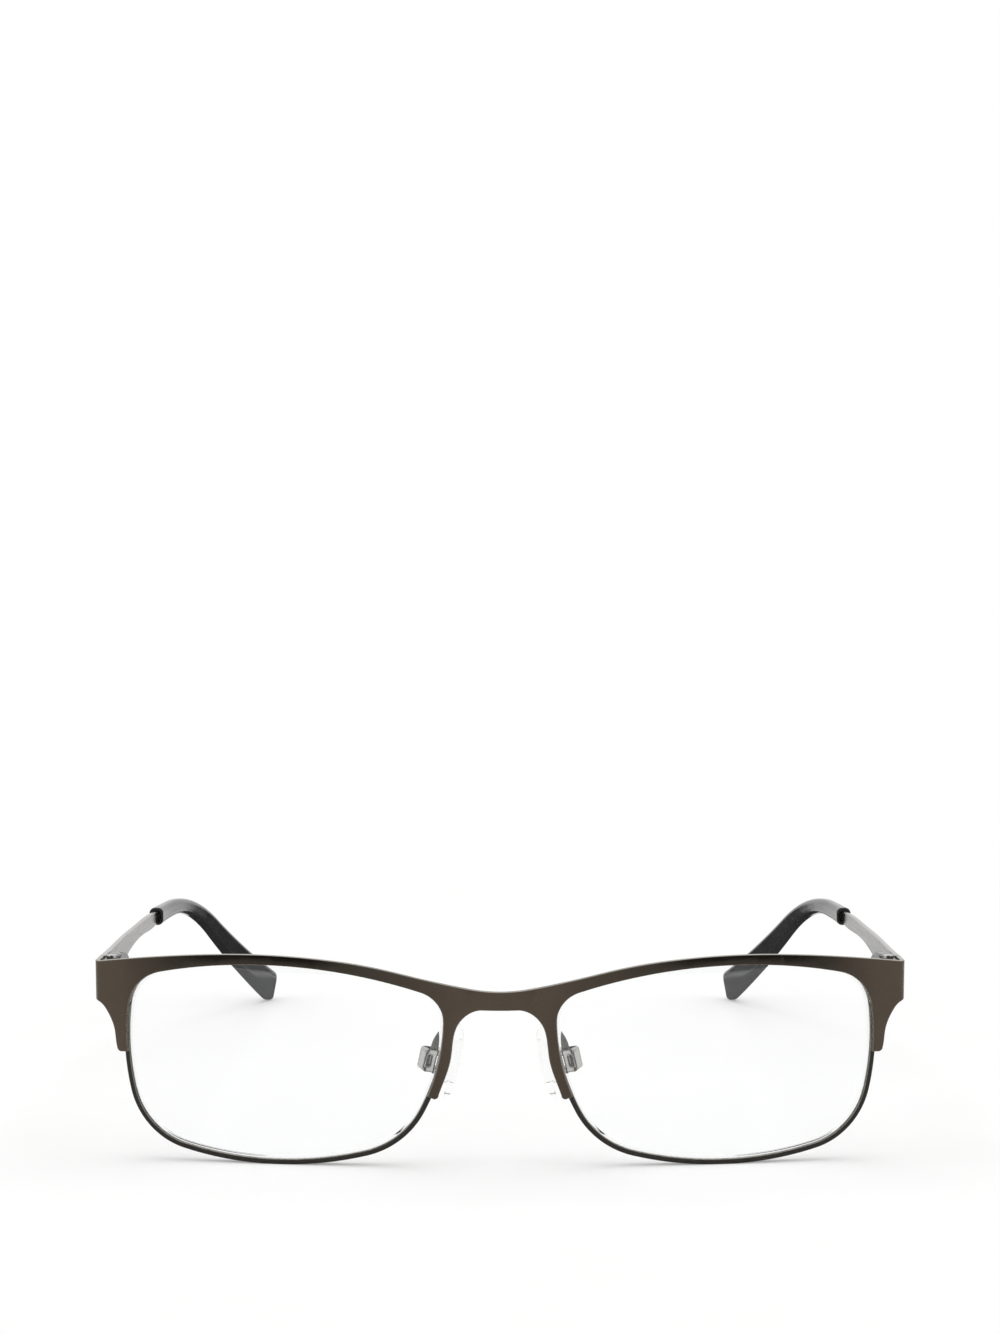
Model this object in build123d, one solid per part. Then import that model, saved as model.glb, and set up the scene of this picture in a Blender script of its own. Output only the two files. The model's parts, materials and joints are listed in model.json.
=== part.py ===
from build123d import *
import math
import os

# Rectangular metal spectacles standing open on a table.
# Millimetres, +Z up, the front faces -Y and the temples run back along +Y.
# The origin lies on the table under the middle of the whole frame.
# Every paired piece is modelled on the wearer's left (+X) and mirrored to the right.

os.makedirs("parts", exist_ok=True)

# Lens opening, measured in the plane of the lens
opening_from_centre = 9.2
opening_half_width = 27.6
opening_half_height = 17.28
lens_middle_drop = 0.37
opening_corner_shares = [(0.950, 0.820), (-0.994, 0.673), (-0.714, -0.814), (0.883, -0.784)]
opening_bulge_shares = [0.251, 0.157, 0.202, 0.132]
opening_round_shares = [0.455, 0.343, 0.823, 0.697]

# Stamped front seen from ahead, laid out round the lens openings
end_piece_width = 4.6
brow_bar_height = 1.44
brow_bridge_dip = 5.93
brow_end_drop = 3.02
end_piece_height = 6.69
end_piece_neck_drop = 3.64
bridge_bar_height = 3.17
bridge_flat_half_width = 3.0
bridge_leg_width = 2.2
nasal_leg_foot_inset = 1.7
nasal_leg_foot_depth = 6.3
temporal_leg_width = 1.1
temporal_leg_foot_height = 0.0
leg_corner_radius = 0.75
end_corner_radius = 0.5

# Sheet of the front, seen from above
plate_thickness = 0.8
bridge_radius = 24.0
valley_radius = 24.0
eye_curve_radius = 130.0
eye_curve_from_opening = 14.3
eye_curve_setback = 0.45
upright_curve_radius = 270.0
end_bend_radius = 1.7
end_stub_length = 0.3
return_length = 4.9
sheet_overrun_up = 4.65
sheet_overrun_out = 1.0
cutter_depth = 30.0

# Grooved rim wire and lens
rim_radial_width = 1.0
rim_depth = 1.8
plate_reveal = 0.1
groove_depth = 0.45
groove_width = 0.8
lens_thickness = 1.4
bevel_width = 0.7
seat_clearance = 0.02
section_reach = 12.0

# Closing block that clamps the rim round the lens
block_width = 2.1
block_depth = 1.9
block_half_height = 1.35
block_split_rise = 0.46
rim_split = 0.3
rim_screw_radius = 0.5
rim_screw_head_radius = 0.8
rim_screw_head_height = 0.5
rim_screw_setback = 1.1
screw_hole_clearance = 0.03

# Nose pads
pad_height = 13.5
pad_width = 7.6
pad_thickness = 2.0
pad_edge_radius = 0.7
pad_face_from_opening = 1.2
pad_behind_front = 8.9
pad_drop = 2.2
pad_frontal_angle = 15.0
pad_splay_angle = 24.0
pad_end_round_share = 0.8
core_height = 8.0
core_width = 4.0
core_thickness = 0.6
nib_height = 1.7
nib_width = 1.1
nib_length = 2.3
pad_box_height = 3.9
pad_box_width = 2.3
pad_box_length = 3.6
pad_box_gap = 0.45
pad_box_corner_radius = 0.6
nib_side_clearance = 0.12
nib_rock_clearance = 0.4
nib_depth_clearance = 0.3
window_height = 2.1
window_length = 0.8
window_wall = 0.45
pad_screw_radius = 0.4
pad_screw_head_radius = 0.65
pad_screw_head_height = 0.35
pad_screw_from_mouth = 1.0
pad_arm_radius = 0.5
pad_arm_from_opening = 0.4
pad_arm_rim_drop = 4.25
pad_arm_back_run = 3.2
pad_arm_rise = 2.4
pad_arm_bend_radius = 1.2

# Stance of the front and height of the hinge
pantoscopic_tilt = 5.0

# Sprung hinge, lengths counted back from its axis and outwards from it
knuckle_radius = 1.05
hinge_seat_offset = 1.15
hinge_half_height = 2.75
knuckle_half_height = 1.2
knuckle_gap = 0.05
hinge_screw_radius = 0.55
hinge_screw_head_radius = 0.85
hinge_screw_head_height = 0.45
running_clearance = 0.04
butt_gap = 0.1
leaf_length = 2.9
leaf_thickness = 0.9
ear_web_inner = 0.3
ear_web_back = 1.5
slider_neck_half_width = 0.5
slider_neck_half_height = 0.9
slider_neck_length = 3.2
slider_rod_radius = 0.38
slider_rod_end = 12.2
nut_radius = 0.7
nut_length = 0.8
box_front = 1.35
box_straight = 5.0
box_tail = 17.0
box_tail_round = 1.2
box_edge_radius = 0.45
box_bore_radius = 0.82
box_bore_front = 3.5
box_bore_end = 13.4
box_mouth_clearance = 0.08
stop_length = 1.0
spring_outer_radius = 0.76
spring_wire_diameter = 0.25

# Temple blade: lengths run back from the hinge axis, heights from its middle line
blade_thickness = 0.9
blade_butt_height = 6.2
blade_straight = 18.0
blade_bow_radius = 576.0
collar_length = 63.3
tip_bow_radius = 209.0
collar_to_bend = 12.5
ear_bend_radius = 52.5
ear_bend_turn = 31.3
tip_straight_length = 33.1
core_rod_height = 1.6
core_tail_length = 18.0
blade_top_shares = [(0.15, 0.46), (0.32, 0.435), (0.48, 0.42), (0.69, 0.40), (0.925, 0.40)]
blade_foot_shares = [
    (0.15, -0.43), (0.32, -0.33), (0.48, -0.18), (0.635, -0.045), (0.77, -0.02), (0.925, -0.04),
]
temple_rise = 1.23
channel_clearance = 0.03

# Moulded tip: shares of its length with shares of its height and thickness
tip_height = 6.8
tip_thickness = 2.7
tip_edge_radius = 1.05
tip_section_shares = [
    (0.0, 0.50, 1.0), (0.20, 0.45, 0.93), (0.33, 0.455, 0.88), (0.45, 0.52, 0.85),
    (0.57, 0.60, 0.85), (0.70, 0.705, 0.85), (0.85, 0.825, 0.85), (0.97, 0.95, 0.85),
]
tip_end_shares = [(0.987, 0.88, 0.82), (0.996, 0.72, 0.70), (1.0, 0.52, 0.50)]
tip_end_tilt = 10.0

# Where the temple starts to bend down behind the ear
ear_bend_start = collar_length + collar_to_bend

# Widths of the front that follow from the lens openings, counted from the middle
front_width = 2 * (opening_from_centre + 2 * opening_half_width + end_piece_width)
lens_middle_from_centre = opening_from_centre + opening_half_width
eye_curve_middle = opening_from_centre + eye_curve_from_opening
bridge_leg_half_width = opening_from_centre - bridge_leg_width
nasal_leg_foot_half_width = opening_from_centre + nasal_leg_foot_inset
pad_face_from_centre = opening_from_centre - pad_face_from_opening
pad_arm_from_centre = opening_from_centre + pad_arm_from_opening
sheet_reach = front_width / 2 + sheet_overrun_out

# Heights of the front, counted from the datum line just above the lens middles
brow_height = opening_half_height - lens_middle_drop + brow_bar_height
brow_bridge_height = brow_height - brow_bridge_dip
brow_end_height = brow_height - brow_end_drop
end_piece_foot_height = brow_end_height - end_piece_height
end_piece_neck_height = end_piece_foot_height - end_piece_neck_drop
bridge_underside_height = brow_bridge_height - bridge_bar_height
block_split_height = end_piece_foot_height + block_split_rise
pad_arm_rim_height = bridge_underside_height - pad_arm_rim_drop
sheet_half_height = brow_height + sheet_overrun_up


def polar(centre, radius, angle):
    """Point at an angle in degrees on a circle in the plane seen from above."""
    turn = math.radians(angle)
    return (centre[0] + radius * math.cos(turn), centre[1] + radius * math.sin(turn))


def bearing(start, end):
    """Direction in degrees from one plan point to another."""
    return math.degrees(math.atan2(end[1] - start[1], end[0] - start[0]))


def curve_centres():
    """Plan centres of the bridge, valley, eye and end-bend arcs on the left half."""
    bridge = (0.0, bridge_radius)
    eye = (eye_curve_middle, eye_curve_setback + eye_curve_radius)
    reach_bridge = bridge_radius + valley_radius
    reach_eye = eye_curve_radius + valley_radius
    span = math.dist(bridge, eye)
    along = (reach_bridge ** 2 - reach_eye ** 2 + span ** 2) / (2 * span)
    across = math.sqrt(reach_bridge ** 2 - along ** 2)
    step = ((eye[0] - bridge[0]) / span, (eye[1] - bridge[1]) / span)
    valley = (
        bridge[0] + along * step[0] + across * step[1],
        bridge[1] + along * step[1] - across * step[0],
    )
    bend_x = front_width / 2 - end_bend_radius
    bend_reach = eye_curve_radius - end_bend_radius
    bend = (bend_x, eye[1] - math.sqrt(bend_reach ** 2 - (bend_x - eye[0]) ** 2))
    return bridge, valley, eye, bend


BRIDGE, VALLEY, EYE, BEND = curve_centres()


def half_plan_curve(setback, bent):
    """Left half of the front's plan curve, set back from its front face."""
    to_valley = bearing(BRIDGE, VALLEY)
    to_eye = bearing(EYE, VALLEY)
    valley_start = to_valley + 180
    valley_end = to_eye + 180
    edges = [
        CenterArc(VALLEY, valley_radius + setback, valley_start, valley_end - valley_start - 360),
    ]
    eye_radius = eye_curve_radius - setback
    if bent:
        eye_end = bearing(EYE, BEND)
        edges.append(CenterArc(EYE, eye_radius, to_eye, eye_end - to_eye))
        edges.append(CenterArc(BEND, end_bend_radius - setback, eye_end, -eye_end))
        side = front_width / 2 - setback
        edges.append(Line((side, BEND[1]), (side, BEND[1] + end_stub_length)))
    else:
        reach = sheet_reach - EYE[0]
        eye_end = bearing(EYE, (sheet_reach, EYE[1] - math.sqrt(eye_curve_radius ** 2 - reach ** 2)))
        edges.append(CenterArc(EYE, eye_radius, to_eye, eye_end - to_eye))
    return edges


def plan_curve(setback, bent):
    """Whole plan curve from end to end."""
    to_valley = bearing(BRIDGE, VALLEY)
    sweep_angle = 2 * (to_valley + 90)
    middle = CenterArc(BRIDGE, bridge_radius - setback, -90 - sweep_angle / 2, sweep_angle)
    half = half_plan_curve(setback, bent)
    other_half = [edge.mirror(Plane.YZ) for edge in half]
    return [middle] + half + other_half, half[-1] @ 1


def curved_sheet(front_setback, back_setback, bent=False):
    """Doubly curved sheet between two setbacks: the plan curve swung about a level axis behind it."""
    front_edges, front_end = plan_curve(front_setback, bent)
    back_edges, back_end = plan_curve(back_setback, bent)
    closing = Line(front_end, back_end)
    face = make_face(front_edges + back_edges + [closing, closing.mirror(Plane.YZ)])
    axis = Axis((0, upright_curve_radius, 0), (1, 0, 0))
    half_swing = math.degrees(math.asin(sheet_half_height / upright_curve_radius))
    return revolve(face.rotate(axis, -half_swing), axis=axis, revolution_arc=2 * half_swing)


# Plane of the left lens: its local x runs to the temple, its local y runs up
eye_turn = math.asin((lens_middle_from_centre - EYE[0]) / eye_curve_radius)
eye_plane = Plane(
    origin=(
        lens_middle_from_centre,
        EYE[1] - eye_curve_radius * math.cos(eye_turn),
        -lens_middle_drop,
    ),
    x_dir=(math.cos(eye_turn), math.sin(eye_turn), 0),
    z_dir=(math.sin(eye_turn), -math.cos(eye_turn), 0),
)


def opening_face(margin):
    """Lens opening as four bowed sides with rounded corners, moved outwards by a margin."""
    corners = [(u * opening_half_width, v * opening_half_height) for u, v in opening_corner_shares]
    sides = []
    for index, bulge_share in enumerate(opening_bulge_shares):
        start = Vector(*corners[index])
        end = Vector(*corners[(index + 1) % len(corners)])
        outwards = Vector(0, 0, 1).cross(start - end).normalized()
        middle = (start + end) / 2 + outwards * bulge_share * opening_half_height
        sides.append(ThreePointArc(start, middle, end))
    face = make_face(sides)
    for corner, round_share in zip(corners, opening_round_shares):
        nearest = face.vertices().sort_by_distance(corner)[0]
        face = fillet(nearest, round_share * opening_half_height)
    return offset(face, amount=margin) if margin else face


def eye_prism(margin):
    """Solid through the lens opening whose sides run square to the curved lens."""
    faces = []
    for reach in (-section_reach, section_reach):
        spread = (eye_curve_radius + reach) / eye_curve_radius
        faces.append(eye_plane.offset(reach) * scale(opening_face(margin), by=spread))
    return loft(faces, ruled=True)


def front_outline():
    """Outline of the stamped front seen from ahead, without its two lens openings."""
    half_width = front_width / 2
    brow_lift = brow_height - brow_bridge_height
    brow_points = [
        (0, brow_bridge_height),
        (0.13 * half_width, brow_bridge_height + 0.16 * brow_lift),
        (0.29 * half_width, brow_bridge_height + 0.63 * brow_lift),
        (0.43 * half_width, brow_bridge_height + 0.90 * brow_lift),
        (0.57 * half_width, brow_height),
        (0.78 * half_width, brow_bridge_height + 0.875 * brow_lift),
        (half_width, brow_end_height),
    ]
    brow = Spline(*brow_points, tangents=[(1, 0), (1, -0.19)])
    side = Line(
        (half_width, brow_end_height),
        (half_width, end_piece_foot_height + end_corner_radius),
    )
    corner = RadiusArc(
        side @ 1,
        (half_width - end_corner_radius, end_piece_foot_height - 0.4 * end_corner_radius),
        end_corner_radius,
    )
    opening_side = lens_middle_from_centre + opening_half_width * math.cos(eye_turn)
    leg_outer = opening_side + temporal_leg_width
    foot_z = temporal_leg_foot_height
    neck_middle_z = 0.55 * end_piece_foot_height + 0.45 * end_piece_neck_height
    neck = Spline(
        corner @ 1,
        (leg_outer + 0.45 * (half_width - leg_outer), neck_middle_z),
        (leg_outer + 0.09 * (half_width - leg_outer), 0.75 * end_piece_neck_height),
        (leg_outer - 0.05 * temporal_leg_width, foot_z + leg_corner_radius),
        tangents=[(-1, -0.25), (-0.25, -1)],
    )
    foot_corner = RadiusArc(
        neck @ 1,
        (leg_outer - leg_corner_radius, foot_z),
        leg_corner_radius,
    )
    temporal_inside = (opening_side - 2 * temporal_leg_width, foot_z)
    foot = Line(foot_corner @ 1, temporal_inside)
    nasal_foot_z = -nasal_leg_foot_depth
    nasal_inner = (nasal_leg_foot_half_width + 0.4 * leg_corner_radius, nasal_foot_z)
    nasal_inside = (nasal_leg_foot_half_width + 3 * leg_corner_radius, 0.93 * nasal_foot_z)
    across = Line(temporal_inside, nasal_inside)
    nasal_foot = Line(nasal_inside, nasal_inner)
    nasal_outer = (
        nasal_leg_foot_half_width - 0.75 * leg_corner_radius,
        nasal_foot_z + leg_corner_radius,
    )
    nasal_corner = RadiusArc(nasal_inner, nasal_outer, leg_corner_radius)
    leg_top = (bridge_leg_half_width, 0.72 * bridge_underside_height)
    leg_middle_x = 0.5 * (nasal_outer[0] + leg_top[0]) - 0.05 * bridge_leg_half_width
    leg = Spline(
        nasal_outer,
        (leg_middle_x, 0.5 * (nasal_outer[1] + leg_top[1])),
        leg_top,
        (bridge_flat_half_width, bridge_underside_height),
        tangents=[(-0.33, 1), (-1, 0)],
    )
    underside = Line(leg @ 1, (0, bridge_underside_height))
    half = [brow, side, corner, neck, foot_corner, foot, across, nasal_foot, nasal_corner, leg, underside]
    return make_face(half + [edge.mirror(Plane.YZ) for edge in half])


def mirrored(shape):
    return shape.mirror(Plane.YZ)


def placed_front(shape):
    """Front piece set on the table at its tilt."""
    return front_place * shape


def plate_blank():
    outline = Plane.XZ * front_outline()
    block = extrude(outline, amount=cutter_depth, both=True)
    blank = curved_sheet(0, plate_thickness, bent=True) & block
    hole = eye_prism(plate_reveal)
    return blank - hole - mirrored(hole)


def eyewire():
    """Rim wire with its lens groove, split at the closing block."""
    ring = eye_prism(rim_radial_width) - eye_prism(0)
    ring = ring & curved_sheet(rim_back - rim_depth, rim_back)
    groove_front = rim_back - (rim_depth + groove_width) / 2
    groove = eye_prism(groove_depth) & curved_sheet(groove_front, groove_front + groove_width)
    split = Box(3 * block_width, cutter_depth, rim_split)
    split_place = block_place * Rot(X=90)
    return ring - groove - split_place * split


def lens():
    """Thin meniscus lens with the ridge that sits in the groove."""
    body_front = rim_back - (rim_depth + lens_thickness) / 2
    body = eye_prism(-seat_clearance) & curved_sheet(body_front, body_front + lens_thickness)
    ridge_front = rim_back - (rim_depth + bevel_width) / 2
    ridge = eye_prism(groove_depth - seat_clearance)
    ridge = ridge & curved_sheet(ridge_front, ridge_front + bevel_width)
    return body + ridge


def behind_edge(across, up, setback):
    """Place behind the front face on the slanting side of the lens opening."""
    spread = (eye_curve_radius - setback) / math.hypot(eye_curve_radius, across)
    upright_sag = up ** 2 / (2 * upright_curve_radius)
    return eye_plane * Pos(across * spread, up, eye_curve_radius * (spread - 1) - upright_sag)


block_middle = opening_half_width + rim_radial_width + block_width / 2
rim_back = plate_thickness + seat_clearance + rim_depth
block_place = behind_edge(block_middle, block_split_height, plate_thickness + block_depth / 2)
block_screw_place = behind_edge(
    block_middle, block_split_height, plate_thickness + rim_screw_setback
) * Rot(X=-90)


def closing_block(upper):
    """One half of the closing block, soldered to one end of the split rim."""
    lift = (rim_split + block_half_height) / 2
    overlap = rim_radial_width
    bar = Box(block_width + overlap, block_half_height, cutter_depth)
    bar = block_place * Pos(-overlap / 2, lift if upper else -lift, 0) * bar
    bar = bar & curved_sheet(plate_thickness + seat_clearance, plate_thickness + block_depth)
    bar = bar - eye_prism(rim_radial_width + seat_clearance)
    hole = block_screw_place * Cylinder(rim_screw_radius + screw_hole_clearance, cutter_depth)
    return bar - hole


def rim_screw():
    """Screw that draws the closing block together, head underneath."""
    shank_half = block_half_height + rim_split / 2
    shank = Cylinder(rim_screw_radius, 2 * shank_half)
    head = Pos(0, 0, shank_half + seat_clearance + rim_screw_head_height / 2)
    head = head * Cylinder(rim_screw_head_radius, rim_screw_head_height)
    neck = Pos(0, 0, shank_half) * Cylinder(rim_screw_radius, 2 * seat_clearance)
    return block_screw_place * (shank + neck + head)


# Plane on the left pad's outer face, local z pointing at the nose and local y up the pad
pad_splay = math.radians(pad_splay_angle)
pad_frontal = math.radians(pad_frontal_angle)
pad_normal = Vector(
    -math.cos(pad_splay) * math.cos(pad_frontal),
    math.sin(pad_splay),
    -math.cos(pad_splay) * math.sin(pad_frontal),
)
pad_plane = Plane(
    origin=(pad_face_from_centre, pad_behind_front, -pad_drop),
    x_dir=Vector(0, 0, 1).cross(pad_normal),
    z_dir=pad_normal,
)


def pad_oval(width, height):
    """Oval of two long side arcs and two short end arcs."""
    half_width = width / 2
    end_radius = pad_end_round_share * half_width
    end_centre = height / 2 - end_radius
    side_radius = half_width ** 2 + end_centre ** 2 - end_radius ** 2
    side_radius = side_radius / (2 * (half_width - end_radius))
    side_centre = side_radius - half_width
    half_turn = math.degrees(math.atan2(end_centre, side_centre))
    side = CenterArc((-side_centre, 0), side_radius, -half_turn, 2 * half_turn)
    end = CenterArc((0, end_centre), end_radius, half_turn, 180 - 2 * half_turn)
    return make_face([side, end, side.mirror(Plane.YZ), end.mirror(Plane.XZ)])


def pad_core():
    """Hard insert inside the pad, with the nib that plugs into the pad box."""
    wing_back = -(pad_thickness + core_thickness) / 2
    wing = pad_plane * Pos(0, 0, wing_back) * extrude(pad_oval(core_width, core_height), core_thickness)
    nib_end = pad_thickness + pad_box_gap + nib_length
    nib_span = nib_end + wing_back
    nib = Box(nib_width, nib_height, nib_span)
    nib = pad_plane * Pos(0, 0, wing_back - nib_span / 2) * nib
    hole_centre = pad_thickness + pad_box_gap + pad_screw_from_mouth
    hole = Cylinder(pad_screw_radius + running_clearance, cutter_depth, rotation=(0, 90, 0))
    return wing + nib - pad_plane * Pos(0, 0, -hole_centre) * hole


def nose_pad():
    """Soft pad moulded round its core."""
    blank = extrude(pad_oval(pad_width, pad_height), -pad_thickness)
    blank = fillet(blank.faces().sort_by(Axis.Z)[-1].edges(), pad_edge_radius)
    return pad_plane * blank - pad_core()


pad_box_place = pad_plane * Pos(0, 0, -(pad_thickness + pad_box_gap + pad_box_length / 2))
pad_screw_place = pad_plane * Pos(0, 0, -(pad_thickness + pad_box_gap + pad_screw_from_mouth)) * Rot(Y=90)


def pad_box():
    """Small metal box that holds the nib, with a window through its outer end."""
    blank = Box(pad_box_width, pad_box_height, pad_box_length)
    blank = fillet(blank.edges().filter_by(Axis.X), pad_box_corner_radius)
    pocket_depth = nib_length + nib_depth_clearance
    pocket = Box(nib_width + 2 * nib_side_clearance, nib_height + 2 * nib_rock_clearance, pocket_depth)
    pocket = Pos(0, 0, (pad_box_length - pocket_depth) / 2) * pocket
    window = Box(pad_box_width, window_height, window_length)
    window_place = Pos(0, 0, window_wall + window_length / 2 - pad_box_length / 2)
    window = window_place * fillet(window.edges().filter_by(Axis.X), window_length / 3)
    screw_hole = Cylinder(pad_screw_radius + seat_clearance, cutter_depth)
    return pad_box_place * (blank - pocket - window) - pad_screw_place * screw_hole


def pad_screw():
    """Screw through the box and the nib; the pad rocks about it."""
    shank = Cylinder(pad_screw_radius, pad_box_width + seat_clearance)
    head_place = Pos(0, 0, (pad_box_width + pad_screw_head_height) / 2 + seat_clearance)
    head = head_place * Cylinder(pad_screw_head_radius, pad_screw_head_height)
    neck = Pos(0, 0, pad_box_width / 2) * Cylinder(pad_screw_radius, 4 * seat_clearance)
    return pad_screw_place * (shank + neck + head)


def pad_arm():
    """Bent wire from the back of the rim to the top of the pad box."""
    valley_reach = math.sqrt((valley_radius + rim_back) ** 2 - (pad_arm_from_centre - VALLEY[0]) ** 2)
    upright_sag = pad_arm_rim_height ** 2 / (2 * upright_curve_radius)
    start_y = VALLEY[1] + valley_reach + upright_sag + seat_clearance
    start = Vector(pad_arm_from_centre, start_y, pad_arm_rim_height)
    back = start + Vector(0, pad_arm_back_run, 0)
    above = (pad_box_place * Pos(0, pad_box_height / 2 + pad_arm_rise, 0)).position
    end = (pad_box_place * Pos(0, pad_box_height / 2 + seat_clearance, 0)).position
    points = [start, back, above, end]
    path = FilletPolyline(*points, radius=pad_arm_bend_radius)
    section = Plane(origin=path @ 0, z_dir=path % 0) * Circle(pad_arm_radius)
    return sweep(section, path=path)


# Hinge frame on the left: origin on the pin axis, local x outwards, local y back, local z up the pin
bend_height = (brow_end_height + end_piece_foot_height) / 2
tilt_place = Rot(X=pantoscopic_tilt)
front_rise = -(tilt_place * eyewire()).bounding_box().min.Z
front_place = Pos(0, 0, front_rise) * tilt_place


def sheet_end(height):
    """Where the bent end of the sheet stops at a height above the datum line."""
    reach = upright_curve_radius - BEND[1]
    sag = reach - math.sqrt(reach ** 2 - height ** 2)
    return (front_place * Pos(front_width / 2, BEND[1] + sag, height)).position


bend_end = sheet_end(bend_height)
hinge_outer_offset = hinge_seat_offset + blade_thickness
hinge_x = front_width / 2 - hinge_outer_offset
hinge_y = bend_end.Y + return_length
hinge_z = bend_end.Z


def side_course(length):
    """Distance back, height and slope of the temple's middle line at a length along it."""
    turn = math.radians(ear_bend_turn)
    arc_length = ear_bend_radius * turn
    if length <= ear_bend_start:
        return length, 0.0, 0.0
    if length <= ear_bend_start + arc_length:
        angle = (length - ear_bend_start) / ear_bend_radius
        back = ear_bend_start + ear_bend_radius * math.sin(angle)
        return back, -ear_bend_radius * (1 - math.cos(angle)), angle
    rest = length - ear_bend_start - arc_length
    back = ear_bend_start + ear_bend_radius * math.sin(turn) + rest * math.cos(turn)
    drop = ear_bend_radius * (1 - math.cos(turn)) + rest * math.sin(turn)
    return back, -drop, turn


def inward_course(back):
    """Inward offset and plan slope of the temple at a distance back from the pin."""
    bow = max(0.0, min(back, collar_length) - blade_straight)
    slope = math.asin(bow / blade_bow_radius)
    inward = blade_bow_radius * (1 - math.cos(slope))
    if back <= collar_length:
        return inward, slope
    rest = back - collar_length
    first = tip_bow_radius * math.sin(slope)
    angle = math.asin((first + rest) / tip_bow_radius)
    inward += tip_bow_radius * (math.cos(slope) - math.cos(angle))
    return inward, angle


tip_length = ear_bend_start + ear_bend_radius * math.radians(ear_bend_turn) + tip_straight_length
blade_middle_offset = hinge_seat_offset + blade_thickness / 2


def course_plane(length):
    """Cross-section plane of the temple: local x through its thickness, local y up its height."""
    back, height, fall = side_course(length)
    inward, turn = inward_course(back)
    tangent = Vector(-math.sin(turn) * math.cos(fall), math.cos(turn) * math.cos(fall), -math.sin(fall))
    return Plane(
        origin=(blade_middle_offset - inward, back, height + temple_rise),
        x_dir=(math.cos(turn), math.sin(turn), 0),
        z_dir=tangent,
    )


def temple_plan(half_thickness, start, end):
    """Plan strip of the temple between two distances back, as a face seen from above."""
    bow_centre = (blade_middle_offset - blade_bow_radius, blade_straight)
    _, slope = inward_course(collar_length)
    joint = polar(bow_centre, blade_bow_radius, math.degrees(slope))
    tip_centre = polar(joint, -tip_bow_radius, math.degrees(slope))
    _, end_turn = inward_course(end)
    edges = []
    ends = []
    for side in (-half_thickness, half_thickness):
        x = blade_middle_offset + side
        first = Line((x, start), (x, blade_straight))
        bow = CenterArc(bow_centre, blade_bow_radius + side, 0, math.degrees(slope))
        tail = CenterArc(
            tip_centre, tip_bow_radius + side, math.degrees(slope), math.degrees(end_turn - slope)
        )
        edges += [first, bow, tail]
        ends.append((first @ 0, tail @ 1))
    edges.append(Line(ends[0][0], ends[1][0]))
    edges.append(Line(ends[0][1], ends[1][1]))
    return make_face(edges)


def temple_side(margin, start):
    """Side outline of the blade and of the rod that runs on inside the tip."""
    top = [(start, blade_butt_height / 2)]
    top += [(x * collar_length, y * blade_butt_height) for x, y in blade_top_shares]
    foot = [(start, -blade_butt_height / 2)]
    foot += [(x * collar_length, y * blade_butt_height) for x, y in blade_foot_shares]
    half_rod = core_rod_height / 2 + margin
    bend_centre = (ear_bend_start, temple_rise - ear_bend_radius)
    end_back, end_height, fall = side_course(tip_length - core_tail_length)
    end = (end_back, end_height + temple_rise)
    across = (math.sin(fall) * half_rod, math.cos(fall) * half_rod)
    rod_start = collar_length + core_rod_height * 4
    edges = []
    for points, sign in ((top, 1), (foot, -1)):
        shifted = [(x, y + sign * margin) for x, y in points]
        level = temple_rise + sign * half_rod
        edges.append(Spline(*shifted, (rod_start, level), tangents=[(1, 0), (1, 0)]))
        edges.append(Line((rod_start, level), (ear_bend_start, level)))
        edges.append(CenterArc(bend_centre, ear_bend_radius + sign * half_rod, 90, -ear_bend_turn))
        bend_out = edges[-1] @ 1
        corner = (end[0] + sign * across[0], end[1] + sign * across[1])
        edges.append(Line(bend_out, corner))
    edges.append(Line(edges[0] @ 0, edges[4] @ 0))
    edges.append(Line(edges[3] @ 1, edges[7] @ 1))
    return make_face(edges)


def temple_strip(margin):
    """Blade with the rod inside the tip; a margin gives the channel cut for it."""
    start = butt_gap / 2
    plan = temple_plan(blade_thickness / 2 + margin, start, tip_length)
    upright = extrude(plan, amount=2 * cutter_depth, both=True)
    side = Plane.YZ * temple_side(margin, start)
    across = extrude(side, amount=2 * cutter_depth, both=True)
    return upright & across


def tip_section(along_share, height, thickness, tilt=0.0):
    """Rounded cross-section of the tip at a share of its length."""
    edge_radius = tip_edge_radius * thickness / tip_thickness
    section = RectangleRounded(thickness, height, edge_radius)
    length = collar_length + along_share * (tip_length - collar_length)
    return course_plane(length) * Rot(X=tilt) * section


def temple_tip():
    """Moulded tip run through its cross-sections, with the channel for the rod."""
    sections = []
    for shares, tilt in ((tip_section_shares, 0.0), (tip_end_shares, tip_end_tilt)):
        for along_share, height_share, thickness_share in shares:
            height = height_share * tip_height
            thickness = thickness_share * tip_thickness
            sections.append(tip_section(along_share, height, thickness, tilt))
    return loft(sections, ruled=True) - temple_strip(channel_clearance)


def temple_slope():
    """Downward slope that brings the lowest point of the tip onto the table."""
    tip = temple_tip()
    slope = 0.0
    for _ in range(slope_steps):
        lowest = (Pos(0, 0, hinge_z) * Rot(X=-slope) * tip).bounding_box().min.Z
        slope += math.degrees(lowest / side_course(tip_length)[0])
    return slope


slope_steps = 4
hinge_place = Pos(hinge_x, hinge_y, hinge_z) * Rot(X=-temple_slope())


def hinge_return():
    """Side of the end piece between the bend and the butt, as a solid in the standing frame."""
    top_start = sheet_end(brow_end_height)
    foot_start = sheet_end(end_piece_foot_height)
    top_end = (hinge_place * Pos(0, -butt_gap / 2, blade_butt_height / 2)).position
    foot_end = (hinge_place * Pos(0, -butt_gap / 2, -blade_butt_height / 2)).position
    corners = [(p.Y, p.Z) for p in (foot_start, top_start, top_end, foot_end)]
    profile = Plane.YZ.offset(front_width / 2 - plate_thickness) * make_face(Polyline(*corners, close=True))
    return extrude(profile, amount=plate_thickness)


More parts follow.
